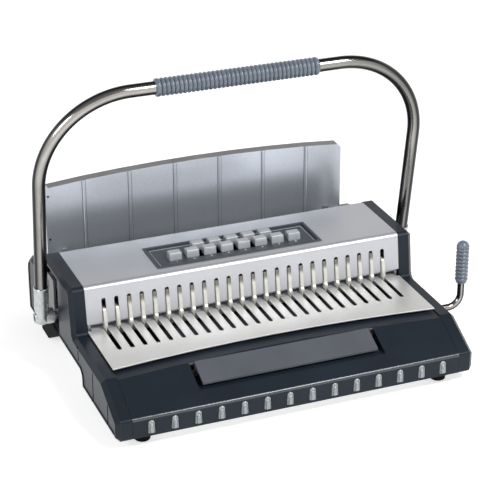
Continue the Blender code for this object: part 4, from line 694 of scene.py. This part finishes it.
# Handle sockets
# Cast alloy. Each is a cup for the tube with a round foot, and a boss that is clamped on the drive
# shaft. A hexagon bolt sits sunk in its outer end.
SOCKET_RADIUS = 0.0083
SOCKET_HEIGHT = 0.040
BALL_RADIUS = 0.0093
BALL_FLAT = 0.0064
cast_alloy = finish("cast_alloy", (0.46, 0.475, 0.485), (0.56, 0.575, 0.585), 160, (0.24, 0.38), 520, 0.00008, metal=0.85)
bolt_black = finish("bolt_black", (0.012, 0.012, 0.013), (0.03, 0.03, 0.032), 300, (0.35, 0.5), 900, 0.00003, metal=0.7)
for side, sign in (("left", -1), ("right", 1)):
    low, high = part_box(f"handle_socket_{side}")
    inner_x, outer_x = (high.x, low.x) if sign < 0 else (low.x, high.x)
    foot = handle_point(sign * HANDLE_HALF_WIDTH, 0)
    top = handle_point(sign * (HANDLE_HALF_WIDTH + HANDLE_SPLAY * SOCKET_HEIGHT), SOCKET_HEIGHT)
    seam = math.acos(SOCKET_RADIUS / BALL_RADIUS)
    cup = [(BALL_RADIUS * math.cos(turn), BALL_RADIUS * math.sin(turn))
           for turn in (-math.pi / 2 + (math.pi / 2 + seam) * i / 12 for i in range(13))]
    cup[0] = (0, -BALL_RADIUS)
    cup += [(SOCKET_RADIUS * 0.97, 0.0105), (SOCKET_RADIUS * 0.97, 0.0345), (SOCKET_RADIUS, 0.0352),
            (SOCKET_RADIUS, SOCKET_HEIGHT - 0.0008), (SOCKET_RADIUS - 0.0005, SOCKET_HEIGHT - 0.0002),
            (TUBE_RADIUS + 0.0002, SOCKET_HEIGHT - 0.0002), (TUBE_RADIUS + 0.0002, SOCKET_HEIGHT - 0.004)]
    boss_length = abs(inner_x - foot.x)
    boss = [(0, 0), (BALL_RADIUS * 0.9, 0), (BALL_RADIUS * 0.955, boss_length * 0.55),
            (BALL_RADIUS * 0.955, boss_length - 0.0008), (BALL_RADIUS * 0.9, boss_length - 0.0001),
            (0.006, boss_length - 0.0001)]
    seat = abs(outer_x - foot.x)
    recess = [(0.0066, seat - 0.0030), (0.0062, seat - 0.0010), (0.0056, seat - 0.0004), (0.0044, seat - 0.0004),
              (0.0041, seat - 0.0021), (0, seat - 0.0021)]
    cup_shell = turned(cup, foot, top - foot, 48)
    for corner in cup_shell.verts:
        if (corner.co.x - foot.x) * sign > BALL_FLAT and corner.co.z < foot.z + BALL_RADIUS:
            corner.co.x = foot.x + sign * BALL_FLAT
    casting = merged([cup_shell, turned(boss, foot, (-sign, 0, 0), 48),
                      turned(recess, foot, (sign, 0, 0), 40)])
    fit(smooth(new_piece(f"handle_socket_{side}_casting", casting)), cast_alloy, f"handle_socket_{side}")
    softened(f"socket_bolt_{side}", 0.0003, bolt_black)


# Comb lever
# A polished rod that comes out of the right cap and is bent upwards. Inside, its crank drives the
# opener link and so the hooks.
lever_low, lever_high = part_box("lever_rod")
LEVER_ROD = 0.004
LEVER_BEND = 0.015
lever_x = lever_high.x - LEVER_ROD
lever_y = -0.06675
lever_z = 0.038
lever_line = [(lever_low.x + 0.0005, lever_y, lever_z)]
lever_line += [(lever_x - LEVER_BEND + LEVER_BEND * math.sin(turn), lever_y,
                lever_z + LEVER_BEND - LEVER_BEND * math.cos(turn))
               for turn in (math.pi / 2 * i / 16 for i in range(17))]
lever_line.append((lever_x, lever_y, lever_high.z))
lever = grow(point_mesh("lever_rod_bent", lever_line, chain=True), SWEPT_BAR, Radius=LEVER_ROD - 0.00005, Sides=40,
             Material=polished_tube)
fit(smooth(lever), polished_tube, "lever_rod")


# Lever grip
# A soft sleeve with nine ribs and a domed top, pushed over the lever's end.
LEVER_RIBS = 9
grip_low, grip_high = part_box("lever_grip")
lever_grip_radius = (grip_high.x - grip_low.x) / 2
sleeve_top = grip_high.z - lever_grip_radius
sleeve = grow(point_mesh("lever_ribs", [(lever_x, lever_y, grip_low.z + 0.002), (lever_x, lever_y, sleeve_top)], chain=True),
              RIBBED_SLEEVE, Ribs=LEVER_RIBS, Valley=lever_grip_radius * 0.80, Crest=lever_grip_radius,
              Rings=LEVER_RIBS * 8 + 1, Sides=40, Material=grip_rubber)
shells = [bmesh.new()]
shells[0].from_mesh(sleeve.data)
bpy.data.objects.remove(sleeve)
dome = [(lever_grip_radius * 0.80, 0)] + [
    (lever_grip_radius * math.cos(turn), lever_grip_radius * math.sin(turn))
    for turn in (math.pi / 2 * (i + 0.5) / 10.5 for i in range(10))] + [(0, lever_grip_radius)]
shells.append(turned(dome, (lever_x, lever_y, sleeve_top), (0, 0, 1), 40))
cuff = [(LEVER_ROD + 0.0002, 0), (lever_grip_radius * 0.8, 0), (lever_grip_radius * 0.86, 0.0008),
        (lever_grip_radius * 0.86, 0.0022), (0, 0.0022)]
shells.append(turned(cuff, (lever_x, lever_y, grip_low.z), (0, 0, 1), 40))
fit(smooth(new_piece("lever_grip_sleeve", merged(shells)), 50), grip_rubber, "lever_grip")


# Chip drawer
# A shallow slate-grey tray under the dies catches the punched chips. Its sloping pull lies in the
# fascia's pocket.
slate_moulding = finish("slate_moulding", (0.078, 0.087, 0.102), (0.096, 0.106, 0.122), 24, (0.36, 0.46), 1400, 0.00003)
# The rounded edges of the pull: glossier, and paler as a painted highlight.
slate_gloss_and_painted_highlight = finish("slate_gloss_and_painted_highlight", (0.24, 0.26, 0.30), (0.29, 0.31, 0.35), 40, (0.26, 0.34), 1400, 0.00001, coat=0.4)
softened("drawer_pull", 0.0005, slate_moulding, segments=3, edge=slate_gloss_and_painted_highlight)
softened("chip_drawer", 0.0003, slate_moulding)


# Selector panel
# A dished charcoal plate hung in the cover, with a hole for each button. A pale line runs round
# the inside of its rim, and small numbers are printed in front of the buttons.
slate_panel = finish("panel_moulding", (0.036, 0.046, 0.060), (0.048, 0.059, 0.074), 30, (0.36, 0.46), 1500, 0.00002)
softened("selector_tray", 0.0003, slate_panel)
pale_print = finish("pale_print", (0.62, 0.64, 0.66), (0.72, 0.73, 0.74), 300, (0.5, 0.6), 1200, 0.00001)
PRINT_HEIGHT = 0.0046
PRINT_RISE = 0.00006
tray_low, tray_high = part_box("selector_tray")
print_z = tray_high.z - 0.0024 + PRINT_RISE
marks = bmesh.new()
for index in range(8):
    low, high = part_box(f"button_front_{index + 1}")
    text = bpy.data.curves.new("number", "FONT")
    text.body = str(index + 1)
    text.size = PRINT_HEIGHT
    text.align_x = "CENTER"
    text.align_y = "CENTER"
    text.resolution_u = 2
    text.offset = PRINT_HEIGHT * 0.03
    lettering = bpy.data.objects.new("number", text)
    bpy.context.scene.collection.objects.link(lettering)
    graph = bpy.context.evaluated_depsgraph_get()
    flat = bpy.data.meshes.new_from_object(lettering.evaluated_get(graph), depsgraph=graph)
    flat.transform(Matrix.Translation(((low.x + high.x) / 2, low.y - 0.0034, print_z)))
    marks.from_mesh(flat)
    bpy.data.objects.remove(lettering)
numbers = new_piece("selector_numbers", marks)
numbers.data.materials.append(pale_print)
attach(numbers, "base")

BORDER_INSET = 0.0062
BORDER_LINE = 0.00032
border_corners = [(x, y, print_z) for x, y in (
    (tray_low.x + BORDER_INSET, tray_low.y + BORDER_INSET), (tray_high.x - BORDER_INSET, tray_low.y + BORDER_INSET),
    (tray_high.x - BORDER_INSET, tray_high.y - BORDER_INSET), (tray_low.x + BORDER_INSET, tray_high.y - BORDER_INSET))]
border = grow(point_mesh("selector_border", border_corners + border_corners[:1], chain=True), SWEPT_BAR,
              Radius=BORDER_LINE, Sides=8, Material=pale_print)
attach(border, "base")


# Selector buttons
# Thirteen grey keys in two rows, each pressed down to leave out one punch. Their tops are a little
# smaller than their feet and their front walls slope.
button_plastic = finish("button_plastic", (0.40, 0.42, 0.44), (0.47, 0.49, 0.51), 90, (0.24, 0.36), 1600, 0.00002,
                        metal=0.2, coat=0.3)
for row, count in (("front", 8), ("rear", 5)):
    for index in range(count):
        softened(f"button_{row}_{index + 1}", 0.0006, button_plastic, limit=20, segments=3)


# Rear lid
# A tall shallow moulding in metallic grey that stands behind the machine and folds down over it.
# Six pairs of fine dark lines, painted shade beside six beads, part its face into panels. A flat panel closes its back.
lid_enamel = finish("lid_enamel", (0.60, 0.64, 0.70), (0.66, 0.70, 0.76), 7, (0.27, 0.30), 2200, 0.000001, metal=0.7,
                    coat=0.2)
# The rounded edges of the lid: paler than its enamel, as a painted highlight.
lid_painted_highlight = finish("lid_painted_highlight", (0.86, 0.88, 0.91), (0.90, 0.92, 0.95), 40, (0.28, 0.34), 1500, 0.000002, metal=0.1)
lid_top = finish("lid_top", (0.20, 0.20, 0.205), (0.25, 0.25, 0.255), 30, (0.45, 0.55), 1500, 0.000002, metal=0.2)


def tinted(piece, material, test):
    """Gives the faces that pass a test a material of their own."""
    piece.data.materials.append(material)
    for face in piece.data.polygons:
        if test(face):
            face.material_index = len(piece.data.materials) - 1


rear_lid = softened("rear_lid", 0.0008, lid_enamel, limit=30, smooth=30, edge=lid_painted_highlight)
tinted(rear_lid, lid_top, lambda face: face.normal.z > 0.95)
LID_PITCH = 0.0546
LID_CREST = 0.0079
BEAD_RADIUS = 0.0011
SHADE_LINE_RADIUS = 0.00045
lid_low, lid_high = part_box("rear_lid")
lid_middle = (lid_low.x + lid_high.x) / 2
lid_half = (lid_high.x - lid_low.x) / 2


def lid_lines(name, offsets, y, radius, material):
    """Upright round lines on the lid's face, one for each offset from each rib."""
    points, edges = [], []
    for rib in range(6):
        for offset in offsets:
            x = (rib - 2.5) * LID_PITCH + offset
            top = lid_high.z - LID_CREST * (x / lid_half) ** 2
            edges.append((len(points), len(points) + 1))
            points += [(lid_middle + x, y, lid_low.z + 0.0015), (lid_middle + x, y, top - radius)]
    mesh = bpy.data.meshes.new(name)
    mesh.from_pydata(points, edges, [])
    line = bpy.data.objects.new(name, mesh)
    bpy.context.scene.collection.objects.link(line)
    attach(smooth(grow(line, SWEPT_BAR, Radius=radius, Sides=16, Material=material)), "lid")


# A dark grey for the lid's arms in their own colour, and for the round lines beside each bead, which are painted shade.
lid_dark_grey_and_painted_shade = finish("lid_dark_grey_and_painted_shade_lines", (0.16, 0.175, 0.195), (0.20, 0.215, 0.235), 40, (0.4, 0.5), 900, 0.00002)
lid_lines("lid_beads", (0,), lid_low.y + 0.0003, BEAD_RADIUS, lid_enamel)
lid_lines("lid_grooves", (-0.0020, 0.0020), lid_low.y + 0.0007, SHADE_LINE_RADIUS, lid_dark_grey_and_painted_shade)
rivet = smooth(new_piece("rivet_pattern", turned([(0, 0), (0.0013, 0), (0.0012, 0.0005), (0.0006, 0.0008), (0, 0.0009)],
                                                 (0, 0, 0), (0, -1, 0), 16)))
rivets = grow(point_mesh("lid_rivets", [(lid_low.x + 0.0035, lid_low.y + 0.0009, z) for z in (0.100, 0.153)]),
              SET_ON_POINTS, Part=rivet, Turn=(0, 0, 0), Material=dark_screw)
bpy.data.objects.remove(rivet)
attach(rivets, "lid")
softened("lid_back", 0.0006, lid_enamel)
for side in ("left", "right"):
    softened(f"lid_arm_{side}", 0.0003, lid_dark_grey_and_painted_shade)
softened("lid_hinge_rail", 0.0003, charcoal_moulding)
repaint("lid_hinge_rod", ground_steel)
bpy.data.objects.remove(screw)


# Studio
# A pale floor under soft light, with the camera at the photograph's place. The floor keeps the
# machine's shadow, and the open background is white for the eye and for gloss.
def soft_white(name, level):
    made = bpy.data.materials.new(name)
    made.use_nodes = True
    nodes, links = made.node_tree.nodes, made.node_tree.links
    shader = nodes["Principled BSDF"]
    shader.inputs["Base Color"].default_value = (level, level, level, 1)
    shader.inputs["Roughness"].default_value = 0.9
    seen = nodes.new("ShaderNodeLightPath")
    either = nodes.new("ShaderNodeMath")
    either.operation = "MAXIMUM"
    links.new(seen.outputs["Is Camera Ray"], either.inputs[0])
    links.new(seen.outputs["Is Glossy Ray"], either.inputs[1])
    glow = nodes.new("ShaderNodeMath")
    glow.operation = "MULTIPLY"
    links.new(either.outputs["Value"], glow.inputs[0])
    glow.inputs[1].default_value = 0.62
    shader.inputs["Emission Color"].default_value = (1, 1, 1, 1)
    links.new(glow.outputs["Value"], shader.inputs["Emission Strength"])
    return made


floor_mesh = bmesh.new()
bmesh.ops.create_circle(floor_mesh, cap_ends=True, radius=6, segments=64)
floor = new_piece("floor", floor_mesh)
floor.data.materials.append(soft_white("studio_floor", 0.8))

world = bpy.data.worlds.new("studio")
bpy.context.scene.world = world
world.use_nodes = True
nodes, links = world.node_tree.nodes, world.node_tree.links
light_path = nodes.new("ShaderNodeLightPath")
direct = nodes.new("ShaderNodeMath")
direct.operation = "MAXIMUM"
links.new(light_path.outputs["Is Camera Ray"], direct.inputs[0])
links.new(light_path.outputs["Is Transmission Ray"], direct.inputs[1])
way = nodes.new("ShaderNodeTexCoord")
height = nodes.new("ShaderNodeSeparateXYZ")
links.new(way.outputs["Generated"], height.inputs["Vector"])
ceiling = map_range(world.node_tree, height.outputs["Z"], 0.40, 0.62, 0.95, 0.22)
strength = map_range(world.node_tree, direct.outputs["Value"], 0.0, 1.0, ceiling, 1.0)
nodes["Background"].inputs["Color"].default_value = (1, 1, 1, 1)
links.new(strength, nodes["Background"].inputs["Strength"])


def soft_lamp(name, place, aim, size, power):
    lamp = bpy.data.lights.new(name, "AREA")
    lamp.size = size
    lamp.energy = power
    holder = bpy.data.objects.new(name, lamp)
    bpy.context.scene.collection.objects.link(holder)
    holder.location = place
    holder.rotation_euler = (Vector(aim) - Vector(place)).to_track_quat("-Z", "Y").to_euler()


soft_lamp("key_lamp", (0.48, -0.80, 1.24), (0, 0, 0.08), 0.5, 14)
soft_lamp("left_lamp", (-1.15, -0.5, 0.85), (0, 0, 0.08), 0.45, 4)

camera = bpy.data.cameras.new("camera")
camera.lens = 127.0
camera.sensor_width = 36
camera.clip_end = 20
eye = bpy.data.objects.new("camera", camera)
bpy.context.scene.collection.objects.link(eye)
eye.location = (-0.651668, -1.62295, 0.9467)
eye.rotation_euler = (math.radians(90 - 25.37), 0, math.radians(-21.84))
bpy.context.scene.camera = eye
bpy.context.scene.view_settings.view_transform = "Standard"
